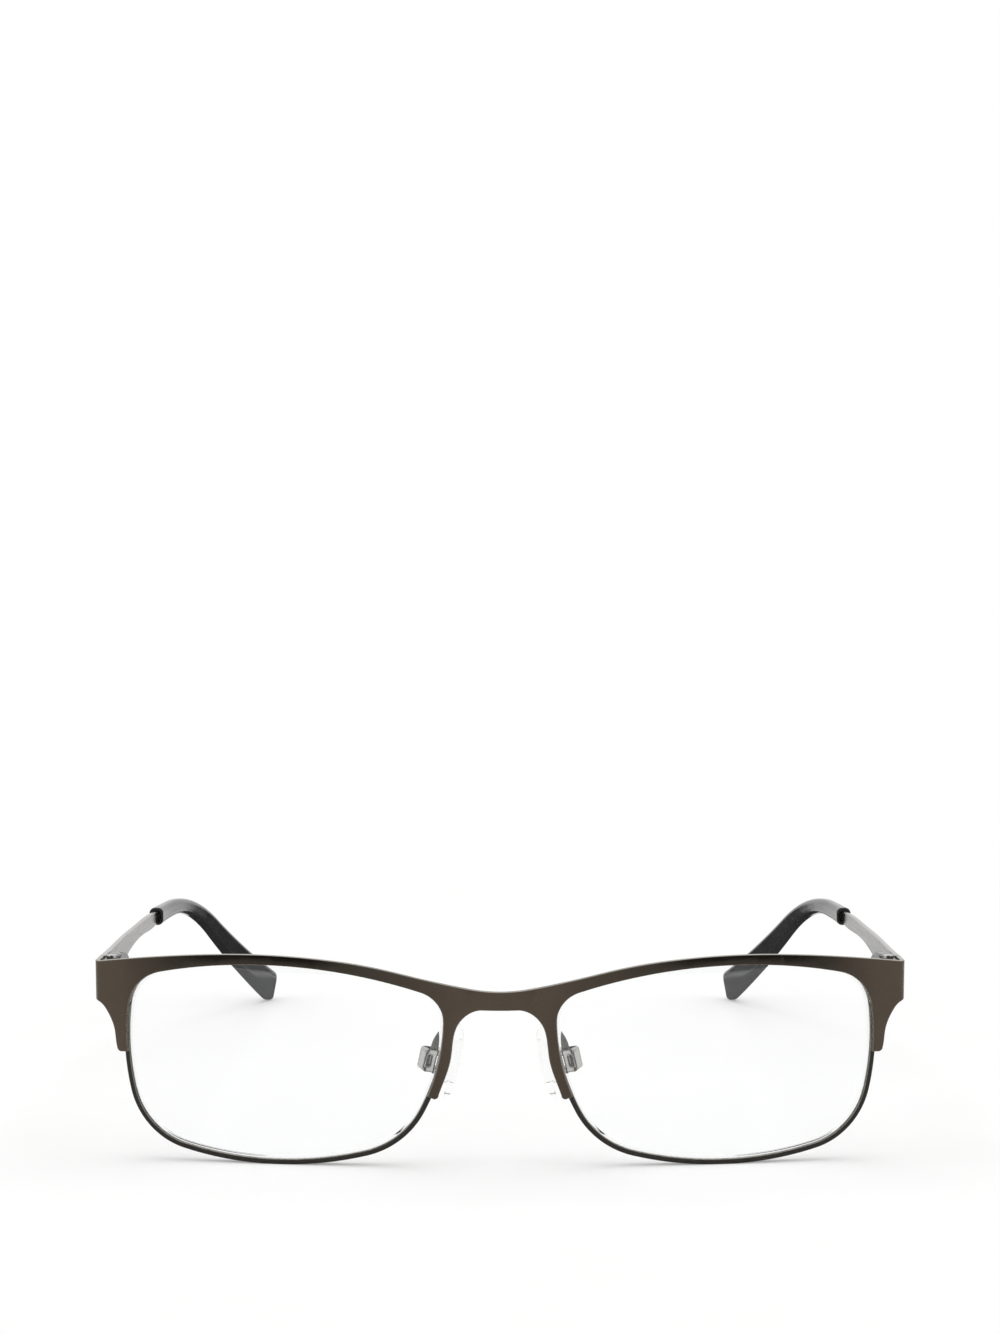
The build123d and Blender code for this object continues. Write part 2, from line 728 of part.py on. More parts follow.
def front_hinge_leaf():
    """Leaf on the end piece with the two outer knuckles."""
    seat = hinge_seat_offset + blade_thickness - plate_thickness
    pad = Box(leaf_thickness, leaf_length, 2 * hinge_half_height)
    pad = Pos(seat - leaf_thickness / 2, -ear_web_back - leaf_length / 2, 0) * pad
    ear_height = hinge_half_height - knuckle_half_height - knuckle_gap
    web_width = seat + ear_web_inner
    web = Box(web_width, ear_web_back, ear_height)
    web = Pos(seat - web_width / 2, -ear_web_back / 2, 0) * web
    relief = Box(blade_thickness, ear_web_back, ear_height)
    relief = Pos(hinge_seat_offset + blade_thickness / 2, 0, 0) * relief
    ear = Cylinder(knuckle_radius, ear_height) + (web - relief)
    ear = ear - Cylinder(hinge_screw_radius + running_clearance, cutter_depth)
    lift = knuckle_half_height + knuckle_gap + ear_height / 2
    return pad + Pos(0, 0, lift) * ear + Pos(0, 0, -lift) * ear


def hinge_screw():
    """Screw that is the hinge's pin."""
    shank = Cylinder(hinge_screw_radius, 2 * hinge_half_height)
    head_place = Pos(0, 0, hinge_half_height + seat_clearance + hinge_screw_head_height / 2)
    head = head_place * Cylinder(hinge_screw_head_radius, hinge_screw_head_height)
    neck = Pos(0, 0, hinge_half_height) * Cylinder(hinge_screw_radius, 4 * seat_clearance)
    return shank + neck + head


def hinge_slider():
    """Middle knuckle on a shank that is drawn out of the spring box."""
    knuckle = Cylinder(knuckle_radius, 2 * knuckle_half_height)
    neck = Box(2 * slider_neck_half_width, slider_neck_length, 2 * slider_neck_half_height)
    neck = Pos(0, slider_neck_length / 2, 0) * neck
    rod_length = slider_rod_end - slider_neck_length / 2
    rod = Cylinder(slider_rod_radius, rod_length, rotation=(90, 0, 0))
    rod = Pos(0, slider_rod_end - rod_length / 2, 0) * rod
    hole = Cylinder(hinge_screw_radius + running_clearance, cutter_depth)
    return knuckle + neck + rod - hole


def tube_along(outer_radius, inner_radius, start, length):
    """Tube or bush lying back along the shank."""
    tube = Cylinder(outer_radius, length) - Cylinder(inner_radius, length)
    return Pos(0, start + length / 2, 0) * Rot(X=90) * tube


def slider_nut():
    return tube_along(nut_radius, slider_rod_radius + seat_clearance, slider_rod_end - nut_length, nut_length)


def spring_stop():
    return tube_along(
        box_bore_radius - seat_clearance,
        slider_rod_radius + running_clearance,
        box_bore_front + seat_clearance,
        stop_length,
    )


def flex_spring():
    """Close-wound spring between the stop and the nut, drawn as the sleeve that its coils fill."""
    start = box_bore_front + stop_length + 2 * seat_clearance
    end = slider_rod_end - nut_length - seat_clearance
    return tube_along(spring_outer_radius, spring_outer_radius - spring_wire_diameter, start, end - start)


def spring_box():
    """Tapering housing on the inside of the blade."""
    half = hinge_half_height
    tail_top = TangentArc((box_straight, half), (box_tail, 0), tangent=(1, 0))
    outline = make_face([
        Line((box_front, -half), (box_front, half)),
        Line((box_front, half), (box_straight, half)),
        Line((box_front, -half), (box_straight, -half)),
        tail_top,
        tail_top.mirror(Plane.XZ),
    ])
    outline = fillet(outline.vertices().sort_by(Axis.X)[-1], box_tail_round)
    profile = Plane.YZ.offset(-hinge_seat_offset) * outline
    blank = extrude(profile, amount=2 * hinge_seat_offset)
    inner_edges = blank.faces().sort_by(Axis.X)[0].edges()
    blank = fillet(inner_edges, box_edge_radius)
    mouth = Box(
        2 * (slider_neck_half_width + box_mouth_clearance),
        2 * (slider_neck_length - box_front),
        2 * (slider_neck_half_height + box_mouth_clearance),
    )
    mouth = Pos(0, box_front, 0) * mouth
    throat_length = box_bore_front - box_front
    throat = tube_solid(slider_rod_radius + box_mouth_clearance, box_front, throat_length)
    bore = tube_solid(box_bore_radius, box_bore_front, box_bore_end - box_bore_front)
    return blank - mouth - throat - bore


def tube_solid(radius, start, length):
    """Solid rod lying back along the shank, for cuts."""
    return Pos(0, start + length / 2, 0) * Rot(X=90) * Cylinder(radius, length)


def solid_of(shape):
    """The shape's single solid, so that each file holds a plain solid."""
    solids = shape.solids()
    return solids[0] if len(solids) == 1 else Compound(children=solids)


def build_pieces():
    """Every piece by node name, standing on the table with the front at the origin."""
    plate = front_place * plate_blank()
    side_return = hinge_return()
    pieces = {"front_plate": plate + side_return + mirrored(side_return)}
    front_pieces = {
        "eyewire": eyewire(),
        "lens": lens(),
        "closing_block_upper": closing_block(True),
        "closing_block_lower": closing_block(False),
        "rim_screw": rim_screw(),
        "pad_arm": pad_arm(),
        "pad_box": pad_box(),
        "pad_screw": pad_screw(),
        "pad_core": pad_core(),
        "nose_pad": nose_pad(),
    }
    hinge_pieces = {
        "front_hinge_leaf": front_hinge_leaf(),
        "hinge_screw": hinge_screw(),
        "hinge_slider": hinge_slider(),
        "slider_nut": slider_nut(),
        "flex_spring": flex_spring(),
        "spring_stop": spring_stop(),
        "spring_box": spring_box(),
        "temple": temple_strip(0),
        "temple_tip": temple_tip(),
    }
    for place, group in ((front_place, front_pieces), (hinge_place, hinge_pieces)):
        for name, shape in group.items():
            standing = place * shape
            pieces[f"left_{name}"] = standing
            pieces[f"right_{name}"] = mirrored(standing)
    return pieces


def main():
    pieces = build_pieces()
    front_edge = pieces["front_plate"].bounding_box().min.Y
    rear_edge = pieces["left_temple_tip"].bounding_box().max.Y
    centring = Pos(0, -(front_edge + rear_edge) / 2, 0)
    for name, shape in pieces.items():
        export_step(centring * solid_of(shape), f"parts/{name}.step")
    axis = centring * hinge_place
    print("hinge axis point", axis.position, "direction", (axis * Pos(0, 0, 1)).position - axis.position)
    print("temple direction", (axis * Pos(0, 1, 0)).position - axis.position)
    rock = centring * front_place * pad_screw_place
    print("pad screw point", rock.position, "direction", (rock * Pos(0, 0, 1)).position - rock.position)
    print("front rise", front_rise, "shift", centring.position)
    print("tilt of the temples", hinge_place.orientation)


main()
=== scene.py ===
"""Looks of the rectangular metal spectacles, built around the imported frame.

Lengths are in millimetres until they are handed to Blender. The pieces of the front are laid out on its
curved sheet: s runs along the sheet from the middle of the bridge, z up it, and depth into it.
"""
import json
import math

import bmesh
import bpy
import numpy as np
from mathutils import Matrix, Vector
from mathutils.geometry import delaunay_2d_cdt

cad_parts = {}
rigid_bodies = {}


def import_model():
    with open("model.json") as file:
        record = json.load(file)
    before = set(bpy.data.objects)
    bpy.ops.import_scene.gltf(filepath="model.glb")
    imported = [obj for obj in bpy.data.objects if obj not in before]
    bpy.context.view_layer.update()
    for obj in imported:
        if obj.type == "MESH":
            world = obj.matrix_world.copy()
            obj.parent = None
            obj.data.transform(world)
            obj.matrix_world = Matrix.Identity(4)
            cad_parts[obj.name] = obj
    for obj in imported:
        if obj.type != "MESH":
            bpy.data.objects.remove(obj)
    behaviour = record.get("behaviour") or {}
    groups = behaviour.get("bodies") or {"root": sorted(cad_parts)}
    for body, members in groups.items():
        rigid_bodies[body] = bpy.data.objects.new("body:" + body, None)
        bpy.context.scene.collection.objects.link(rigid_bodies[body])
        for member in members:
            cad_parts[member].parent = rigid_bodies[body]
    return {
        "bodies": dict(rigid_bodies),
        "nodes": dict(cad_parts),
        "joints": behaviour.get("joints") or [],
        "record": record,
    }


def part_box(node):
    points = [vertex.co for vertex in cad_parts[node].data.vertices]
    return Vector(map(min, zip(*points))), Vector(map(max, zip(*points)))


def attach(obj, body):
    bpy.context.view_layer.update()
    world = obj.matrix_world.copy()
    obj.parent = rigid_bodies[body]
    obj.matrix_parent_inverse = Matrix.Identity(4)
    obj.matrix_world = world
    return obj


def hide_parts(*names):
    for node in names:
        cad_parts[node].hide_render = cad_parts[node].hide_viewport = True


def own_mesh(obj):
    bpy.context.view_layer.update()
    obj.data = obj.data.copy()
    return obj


METRE = 0.001
SIDES = {"left": 1.0, "right": -1.0}

# Camera, read off the photograph's perspective
camera_distance = 554.44
camera_height = 128.3
camera_pitch = 5.1
camera_lens = 78.72
camera_sensor = 36.0

# Share of the white surroundings that reaches matt surfaces
fill_strength = 0.6

# Lamps: place, aim, width and height, and power in watts
lamps = {
    "overhead": ((0, 100, 900), (0, 0, 0), (1000, 800), 3.6),
    "from_left": ((-800, -200, 500), (0, 0, 20), (500, 700), 1.3),
    "from_right": ((800, -200, 500), (0, 0, 20), (500, 700), 1.3),
}

# Floor: where its shadows start to fade and where it is plain white, and its glow near the object
floor_reach = 6000.0
floor_fade_start = 110.0
floor_fade_end = 320.0
floor_glow = 0.25

# Dark cards in front of the plate and behind the tips
card_distance = 60.0
card_inner = 36.0
card_outer = 98.0
card_foot = 17.0
card_top = 75.0
back_card_distance = 14.0
back_card_half_width = 31.5
back_card_foot = 1.0
floor_strip_depth = 62.0
floor_strip_half_width = 75.0
floor_strip_height = 0.3

# Sheet of the front
half_width = 69.0
bridge_radius = 24.0
valley_radius = 24.0
eye_curve_radius = 130.0
eye_curve_middle = 23.5
eye_curve_setback = 0.45
upright_curve_radius = 270.0
end_bend_radius = 1.7
return_length = 4.9
pantoscopic_tilt = math.radians(5.0)

# Stamped plate, heights above the datum line
plate_thickness = 0.8
plate_edge_radius = 0.13
brow_points = [
    (0.0, 12.42), (8.97, 13.37), (20.01, 16.16), (29.67, 17.76),
    (39.33, 18.35), (53.82, 17.61), (69.0, 15.33),
]
brow_end_slope = -0.19
end_piece_top = 15.33
end_piece_foot = 8.64
butt_half_height = 3.1
bridge_underside = 9.25
bridge_flat = 3.0
bridge_leg_width = 7.0
leg_top_share = 0.72
leg_bow_share = 0.05
leg_start = (-0.33, 1)
nasal_foot_width = 10.9
nasal_foot_depth = 6.55
nasal_side_share = 0.75
nasal_edge_share = 0.97
leg_corner_radius = 0.75
temporal_leg_outer = 65.355
temporal_leg_inset = 0.055
neck_top_inset = 0.5
neck_top_drop = 0.2
neck_height = 5.0
neck_upper_share = 0.45
neck_lower_share = 0.09
neck_lower_height = 3.75
neck_start = (-1, -0.25)
neck_end = (-0.25, -1)
plate_step = 0.3
plate_grid = 0.9

# Lens opening
lens_middle = 36.8
lens_middle_drop = 0.37
opening_half_width = 27.6
opening_half_height = 17.28
opening_corner_shares = [(0.950, 0.820), (-0.994, 0.673), (-0.714, -0.814), (0.883, -0.784)]
opening_bulge_shares = [0.251, 0.157, 0.202, 0.132]
opening_round_shares = [0.455, 0.343, 0.823, 0.697]
opening_samples = 420
plate_reveal = 0.1
plate_overlap_above = 0.4

# Rim wire and lens
rim_front = 0.82
rim_depth = 1.8
rim_width = 1.0
rim_edge_radius = 0.22
rim_lip_radius = 0.1
rim_round_steps = 5
groove_depth = 0.45
groove_width = 0.8
split_height = 9.1
lens_thickness = 1.4
lens_play = 0.03
lens_ridge_share = 0.9
bevel_width = 0.7
lens_rings = 40
lens_ring_power = 0.9

# Temple blade and its tip, measured back from the hinge pin
hinge_seat = 1.15
blade_thickness = 0.9
blade_edge_radius = 0.16
blade_straight = 18.0
blade_bow_radius = 576.0
blade_in_tip = 5.0
collar_length = 63.3
tip_bow_radius = 209.0
temple_rise = 1.23
ear_bend_start = 75.8
ear_bend_radius = 52.5
ear_bend_turn = math.radians(31.3)
tip_straight_length = 33.1
butt_gap = 0.1
blade_top_points = [
    (0.05, 3.1), (9.5, 2.85), (20.3, 2.7), (30.4, 2.6), (43.7, 2.48), (58.6, 2.48), (69.7, 2.03),
]
blade_foot_points = [
    (0.05, -3.1), (9.5, -2.67), (20.3, -2.05), (30.4, -1.12),
    (40.2, -0.28), (48.7, -0.12), (58.6, -0.25), (69.7, 0.43),
]
tip_height = 6.8
tip_thickness = 2.7
tip_edge_share = 0.78
tip_edge_steps = 8
tip_flat_shares = (0.15, 0.5, 0.85)
tip_height_shares = [
    (0.0, 0.50), (0.20, 0.45), (0.33, 0.455), (0.45, 0.52), (0.57, 0.60), (0.70, 0.705), (0.85, 0.825),
    (0.97, 0.95), (1.0, 0.97),
]
tip_thickness_shares = [(0.0, 1.0), (0.20, 0.93), (0.33, 0.88), (0.45, 0.85), (0.70, 0.85), (1.0, 0.85)]
tip_end_share = 0.97
tip_end_tilt = math.radians(10.0)

# Rings of the tip's open collar and of its end: share of the length, then of height and thickness there
tip_lip_rings = [(0.008, 0.62, 0.62), (0.0, 0.66, 0.70), (0.0, 0.86, 0.92), (0.003, 0.97, 0.98)]
tip_lip_end = 0.005
tip_end_least = (0.40, 0.35)
tip_last_ring = (0.30, 0.2)
tip_end_power = 2.6

# Coil spring in the spring box
spring_start = 4.54
spring_end = 11.38
spring_coil_radius = 0.635
spring_wire = 0.25
spring_turns = 15

# Nose pads
pad_height = 13.5
pad_width = 7.6
pad_thickness = 2.0
pad_end_round_share = 0.8
pad_face_from_centre = 8.0
pad_behind_front = 8.9
pad_drop = 2.2
pad_frontal = math.radians(15.0)
pad_splay = math.radians(24.0)
pad_profile = [
    (0.0, 0.0), (0.45, 0.02), (0.70, 0.07), (0.85, 0.16), (0.93, 0.30), (0.98, 0.55), (1.0, 0.9),
    (1.0, 1.3), (0.99, 1.6), (0.95, 1.85), (0.88, 1.96), (0.78, 2.0), (0.4, 2.0), (0.0, 2.0),
]
pad_box_gap = 0.45
pad_box_height = 3.9
pad_box_length = 3.6
pad_arm_radius = 0.5
pad_arm_from_centre = 9.6
pad_arm_rim_height = 4.4
pad_arm_back_run = 3.2
pad_arm_rise = 1.3

# How the arm thickens: growth at its solder foot and at the box, and the share of its length each fades over
solder_growth = 0.45
solder_share = 0.06
box_end_growth = 0.15
box_end_share = 0.04

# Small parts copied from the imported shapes, and how wide their edges are broken
broken_edges = {
    "closing_block_upper": 0.12, "closing_block_lower": 0.12, "pad_box": 0.18, "front_hinge_leaf": 0.08,
    "rim_screw": 0.06, "pad_screw": 0.06, "hinge_screw": 0.06, "hinge_slider": 0.06, "spring_box": 0.1,
}
broken_edge_angle = math.radians(38)


def start_scene():
    """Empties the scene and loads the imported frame."""
    for thing in list(bpy.data.objects):
        bpy.data.objects.remove(thing, do_unlink=True)
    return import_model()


frame = start_scene()
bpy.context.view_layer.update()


# Placing points


def crossings(c1, r1, c2, r2):
    """Both points where two circles cross."""
    d = c2 - c1
    gap = math.hypot(*d)
    along = (r1 ** 2 - r2 ** 2 + gap ** 2) / (2 * gap)
    across = math.sqrt(r1 ** 2 - along ** 2)
    foot = c1 + d * along / gap
    normal = np.array([-d[1], d[0]]) / gap
    return foot + normal * across, foot - normal * across


def plan_arcs():
    """Lengths and curvatures of the arcs of half the plan curve, from the bridge outwards."""
    near = bridge_radius + valley_radius
    far = eye_curve_radius + valley_radius
    eye_centre = np.array([eye_curve_middle, eye_curve_setback + eye_curve_radius - bridge_radius])
    valley_x = max(x for x, _ in crossings(np.zeros(2), near, eye_centre, far))
    rise = math.asin(valley_x / near)
    fall = math.asin((eye_curve_middle - valley_x) / far)
    reach = (half_width - end_bend_radius - eye_curve_middle) / (eye_curve_radius - end_bend_radius)
    last = math.asin(reach)
    return [
        (bridge_radius * rise, 1 / bridge_radius),
        (valley_radius * (rise + fall), -1 / valley_radius),
        (eye_curve_radius * (fall + last), 1 / eye_curve_radius),
        (end_bend_radius * (math.pi / 2 - last), 1 / end_bend_radius),
        (return_length, 0.0),
    ]


PLAN = plan_arcs()
bend_length = sum(length for length, _ in PLAN[:4])
sheet_length = bend_length + return_length


def plan_point(s):
    """Plan position and heading at lengths along the sheet."""
    s = np.asarray(s, float)
    length = np.abs(s)
    side = np.where(s < 0, -1.0, 1.0)
    x = np.zeros_like(length)
    y = np.zeros_like(length)
    turned = np.zeros_like(length)
    start, heading = 0.0, 0.0
    for run, curve in PLAN:
        part = np.clip(length - start, 0.0, run)
        if curve:
            x += (np.sin(heading + curve * part) - math.sin(heading)) / curve
            y += (math.cos(heading) - np.cos(heading + curve * part)) / curve
        else:
            x += part * math.cos(heading)
            y += part * math.sin(heading)
        turned += curve * part
        heading += curve * run
        start += run
    return x * side, y, turned * side


def sheet_point(s, z, depth):
    """Points of the front in its own upright frame."""
    x, y, turned = plan_point(s)
    swing = np.arcsin(z / (upright_curve_radius - y))
    x = x - depth * np.sin(turned)
    y = y + depth * np.cos(turned)
    reach = upright_curve_radius - y
    return np.stack([x, upright_curve_radius - reach * np.cos(swing), reach * np.sin(swing)], axis=-1)


def turned(points, angle):
    """Points turned about the sideways axis."""
    x, y, z = np.moveaxis(np.asarray(points, float), -1, 0)
    c, s = math.cos(angle), math.sin(angle)
    return np.stack([x, c * y - s * z, s * y + c * z], axis=-1)


def tilted(points):
    """Front points turned by the pantoscopic tilt."""
    return turned(points, pantoscopic_tilt)


def frame_joint(name):
    """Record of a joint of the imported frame."""
    return next(joint for joint in frame["joints"] if joint["name"] == name)


fold = frame_joint("left_temple_fold")
hinge_point = np.array(fold["pos_m"], float) / METRE
temple_slope = math.atan2(fold["axis"][1], fold["axis"][2])


def hinge_world(points):
    """Points given outwards, back and up from the left hinge pin, in the standing frame."""
    return hinge_point + turned(points, -temple_slope)


def clamped_spline(points, start_slope, end_slope):
    """Smooth curve through points with given end slopes; returns a function."""
    x, z = np.array(points, float).T
    step = np.diff(x)
    rise = np.diff(z) / step
    matrix = np.eye(len(x))
    target = np.zeros(len(x))
    target[0], target[-1] = start_slope, end_slope
    for i in range(1, len(x) - 1):
        matrix[i, i - 1:i + 2] = step[i], 2 * (step[i] + step[i - 1]), step[i - 1]
        target[i] = 3 * (step[i] * rise[i - 1] + step[i - 1] * rise[i])
    slope = np.linalg.solve(matrix, target)

    def value(at):
        at = np.clip(np.asarray(at, float), x[0], x[-1])
        i = np.clip(np.searchsorted(x, at) - 1, 0, len(x) - 2)
        t = (at - x[i]) / step[i]
        start = (1 + 2 * t) * z[i] + t * step[i] * slope[i]
        end = (3 - 2 * t) * z[i + 1] - (1 - t) * step[i] * slope[i + 1]
        return start * (1 - t) ** 2 + end * t ** 2

    return value


brow_curve = clamped_spline(brow_points, 0.0, brow_end_slope)
TABLE_S = np.linspace(0, bend_length, 4000)
TABLE_X = plan_point(TABLE_S)[0]


def along_sheet(x):
    """Length along the sheet of a point seen at a distance from the middle."""
    return np.interp(x, TABLE_X, TABLE_S)


def brow_height(s):
    """Height of the brow's upper edge at lengths along the sheet."""
    return brow_curve(plan_point(np.abs(s))[0])


def front_offset():
    """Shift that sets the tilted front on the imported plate."""
    low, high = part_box("front_plate")
    along = np.linspace(0, bend_length, 400)
    brow = tilted(sheet_point(along, brow_height(along), 0.0))
    return np.array([0.0, low.y / METRE - brow[:, 1].min(), high.z / METRE - brow[:, 2].max()])


offset_front = front_offset()


def front_world(s, z, depth):
    """Points of the front, its two returns included, in the standing frame."""
    s, z, depth = np.broadcast_arrays(s, z, depth)
    side = np.where(s < 0, -1.0, 1.0)
    base = tilted(sheet_point(np.minimum(np.abs(s), bend_length), z, depth)) + offset_front
    run = np.clip((np.abs(s) - bend_length) / return_length, 0.0, 1.0)[..., None]
    share = (z - end_piece_foot) / (end_piece_top - end_piece_foot)
    butt = hinge_world(np.stack([
        hinge_seat + blade_thickness - depth,
        np.full(z.shape, -butt_gap / 2),
        butt_half_height * (2 * share - 1),
    ], axis=-1))
    placed = base * (1 - run) + butt * run
    placed[..., 0] *= side
    return placed


# Meshes


def add_object(name, data):
    """Puts a new object in the scene."""
    thing = bpy.data.objects.new(name, data)
    bpy.context.scene.collection.objects.link(thing)
    return thing


def mesh_piece(name, points, faces, smooth=True):
    """Makes a mesh object from points in millimetres."""
    mesh = bpy.data.meshes.new(name)
    mesh.from_pydata((np.asarray(points) * METRE).tolist(), [], [list(map(int, face)) for face in faces])
    mesh.validate()
    mesh.update()
    for polygon in mesh.polygons:
        polygon.use_smooth = smooth
    return add_object(name, mesh)


def outward(piece):
    """Turns the faces of a closed mesh outwards."""
    work = bmesh.new()
    work.from_mesh(piece.data)
    bmesh.ops.recalc_face_normals(work, faces=work.faces)
    work.to_mesh(piece.data)
    work.free()
    return piece


def settle(piece, body, material, slot, *nodes):
    """Gives a piece its material, its body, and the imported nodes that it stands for."""
    piece.data.materials.clear()
    piece.data.materials.append(material)
    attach(piece, body)
    if nodes:
        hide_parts(*nodes)
    return piece


def repaint(piece, material, chosen):
    """Gives chosen faces of a piece a second material."""
    piece.data.materials.append(material)
    for i in chosen:
        piece.data.polygons[i].material_index = 1
    return piece


def weighted(piece):
    """Shades a piece by its larger faces."""
    modifier = piece.modifiers.new("weighted normals", "WEIGHTED_NORMAL")
    modifier.keep_sharp = True
    return piece


def ring_faces(rings, count):
    """Quads that join a row of rings, each ring holding the same number of points."""
    return [
        (near + i, near + (i + 1) % count, near + count + (i + 1) % count, near + count + i)
        for near in range(0, (rings - 1) * count, count) for i in range(count)
    ]


def skinned(name, rings):
    """Closed skin over a row of rings, with a flat face at each end."""
    points = np.vstack(rings)
    count = len(rings[0])
    faces = ring_faces(len(rings), count)
    faces += [tuple(range(count)), tuple(reversed(range(len(points) - count, len(points))))]
    return outward(mesh_piece(name, points, faces))


def hubbed(name, rings, hubs):
    """Closed skin over a row of rings, with a fan to a middle point at each end."""
    points = np.vstack([*rings, hubs])
    count = len(rings[0])
    faces = ring_faces(len(rings), count)
    for hub, start in ((len(points) - 2, 0), (len(points) - 1, (len(rings) - 1) * count)):
        faces += [(start + i, start + (i + 1) % count, hub) for i in range(count)]
    return outward(mesh_piece(name, points, faces))


def on_side(points, side_name):
    """Copy of points of the left half, mirrored for the right one."""
    points = np.array(points, float)
    points[..., 0] *= SIDES[side_name]
    return points


# Lens opening


def lengths_along(points):
    """Length from the first point of a path to each of its points."""
    return np.concatenate([[0], np.cumsum(np.linalg.norm(np.diff(points, axis=0), axis=1))])


def opening_arcs():
    """Circles of the four bowed sides and four rounded corners of the opening."""
    corners = np.array(opening_corner_shares) * [opening_half_width, opening_half_height]
    sides = []
    for a, b, bulge_share in zip(corners, np.roll(corners, -1, axis=0), opening_bulge_shares):
        bulge = bulge_share * opening_half_height
        chord = b - a
        length = math.hypot(*chord)
        radius = (length ** 2 / 4 + bulge ** 2) / (2 * bulge)
        normal = np.array([chord[1], -chord[0]]) / length
        sides.append(((a + b) / 2 + normal * (bulge - radius), radius))
    arcs = []
    for i, corner in enumerate(corners):
        (c1, r1), (c2, r2) = sides[i - 1], sides[i]
        radius = opening_round_shares[i] * opening_half_height
        both = crossings(c1, r1 - radius, c2, r2 - radius)
        centre = min(both, key=lambda q: math.hypot(*(q - corner)))
        ends = [c + (centre - c) * r / math.hypot(*(centre - c)) for c, r in ((c1, r1), (c2, r2))]
        arcs.append((centre, radius, *ends))
    return sides, arcs


def opening_loop(count):
    """Evenly spaced points of the opening and the outward direction at each, in the lens plane."""
    sides, arcs = opening_arcs()
    rows = []
    for i, (centre, radius, start, end) in enumerate(arcs):
        following = arcs[(i + 1) % 4][2]
        for c, r, a, b, steps in ((centre, radius, start, end, 300), (*sides[i], end, following, 600)):
            first = math.atan2(a[1] - c[1], a[0] - c[0])
            last = math.atan2(b[1] - c[1], b[0] - c[0])
            while last < first:
                last += 2 * math.pi
            angles = np.linspace(first, last, steps, endpoint=False)
            direction = np.stack([np.cos(angles), np.sin(angles)], axis=1)
            rows.append(np.hstack([c + r * direction, direction]))
    rows = np.vstack([*rows, rows[0][:1]])
    place = lengths_along(rows[:, :2])
    at = np.linspace(0, place[-1], count, endpoint=False)
    even = np.stack([np.interp(at, place, column) for column in rows.T], axis=1)
    facing = even[:, 2:]
    return even[:, :2], facing / np.linalg.norm(facing, axis=1)[:, None]


OPENING, OPENING_OUT = opening_loop(opening_samples)
lens_middle_length = float(along_sheet(lens_middle))


def lens_to_sheet(points):
    """Lens-plane points as lengths along and heights up the left half of the sheet."""
    u, v = points[..., 0], points[..., 1]
    spread = eye_curve_radius / np.hypot(eye_curve_radius, u)
    s = lens_middle_length + eye_curve_radius * np.arctan(u / eye_curve_radius)
    return s, v * spread - lens_middle_drop


def lens_world(points, depth, side_name):
    """Lens-plane points at a depth in the front, in the standing frame."""
    return on_side(front_world(*lens_to_sheet(points), depth), side_name)


# Stamped plate


def path_through(points, start, end, count):
    """Smooth plane path through points that leaves and arrives in given directions."""
    points = np.array(points, float)
    start = np.array(start) / math.hypot(*start)
    end = np.array(end) / math.hypot(*end)
    place = lengths_along(points)
    at = np.linspace(0, place[-1], count)
    return np.stack([
        clamped_spline(list(zip(place, points[:, k])), start[k], end[k])(at) for k in range(2)
    ], axis=1)


def corner_arc(centre, radius, first, last, count=8):
    """Points of an arc between two angles in degrees."""
    angles = np.radians(np.linspace(first, last, count))
    return np.stack([centre[0] + radius * np.cos(angles), centre[1] + radius * np.sin(angles)], axis=1)


def rounded(corners, steps):
    """Quarter circles one after another, each given by its centre, radius and first angle."""
    return np.vstack([corner_arc(*corner, corner[2] + 90, steps) for corner in corners])


def plate_half_outline():
    """Right-handed half of the plate's outline as sheet lengths and heights, from the brow's middle."""
    brow_s = np.linspace(0, bend_length, 260)
    brow = np.stack([brow_s, brow_height(brow_s)], axis=1)
    end = [(sheet_length, end_piece_top), (sheet_length, end_piece_foot), (bend_length, end_piece_foot)]
    overhang = half_width - temporal_leg_outer
    leg_side = temporal_leg_outer - temporal_leg_inset
    neck_upper_height = end_piece_foot + neck_upper_share * (neck_height - end_piece_foot)
    neck = path_through([
        (half_width - neck_top_inset, end_piece_foot - neck_top_drop),
        (temporal_leg_outer + neck_upper_share * overhang, neck_upper_height),
        (temporal_leg_outer + neck_lower_share * overhang, neck_lower_height),
        (leg_side, leg_corner_radius),
    ], neck_start, neck_end, 30)
    foot = corner_arc((leg_side - leg_corner_radius, leg_corner_radius), leg_corner_radius, -10, -90)
    nasal_x = nasal_foot_width - nasal_side_share * leg_corner_radius
    nasal_z = leg_corner_radius - nasal_foot_depth
    nasal = corner_arc((nasal_x + leg_corner_radius, nasal_z), leg_corner_radius, 270, 180)
    leg_top_z = leg_top_share * bridge_underside
    leg_middle_x = 0.5 * (nasal_x + bridge_leg_width) - leg_bow_share * bridge_leg_width
    leg = path_through([
        (nasal_x, nasal_z),
        (leg_middle_x, 0.5 * (nasal_z + leg_top_z)),
        (bridge_leg_width, leg_top_z),
        (bridge_flat, bridge_underside),
    ], leg_start, (-1, 0), 50)
    outside = np.vstack([neck, foot])
    inside_leg = np.vstack([nasal, leg, [(0.0, bridge_underside)]])
    for part in (outside, inside_leg):
        part[:, 0] = along_sheet(part[:, 0])
    return np.vstack([brow, end, outside, opening_edge(), inside_leg])


def opening_edge():
    """Stretch of the opening's edge along the plate, from its outer foot over the top to its inner one."""
    upward = np.clip(OPENING_OUT[:, 1:], 0, 1)
    step_out = plate_reveal - plate_overlap_above * upward ** 2
    edge = np.stack(lens_to_sheet(OPENING + OPENING_OUT * step_out), axis=1)
    outer_half = OPENING[:, 0] > 0
    held = edge[:, 1] > np.where(outer_half, 0.0, -nasal_edge_share * nasal_foot_depth)
    start = int(np.nonzero(held & ~np.roll(held, 1) & outer_half)[0][0])
    order = np.roll(np.arange(len(edge)), -start)
    return edge[order][held[order]]


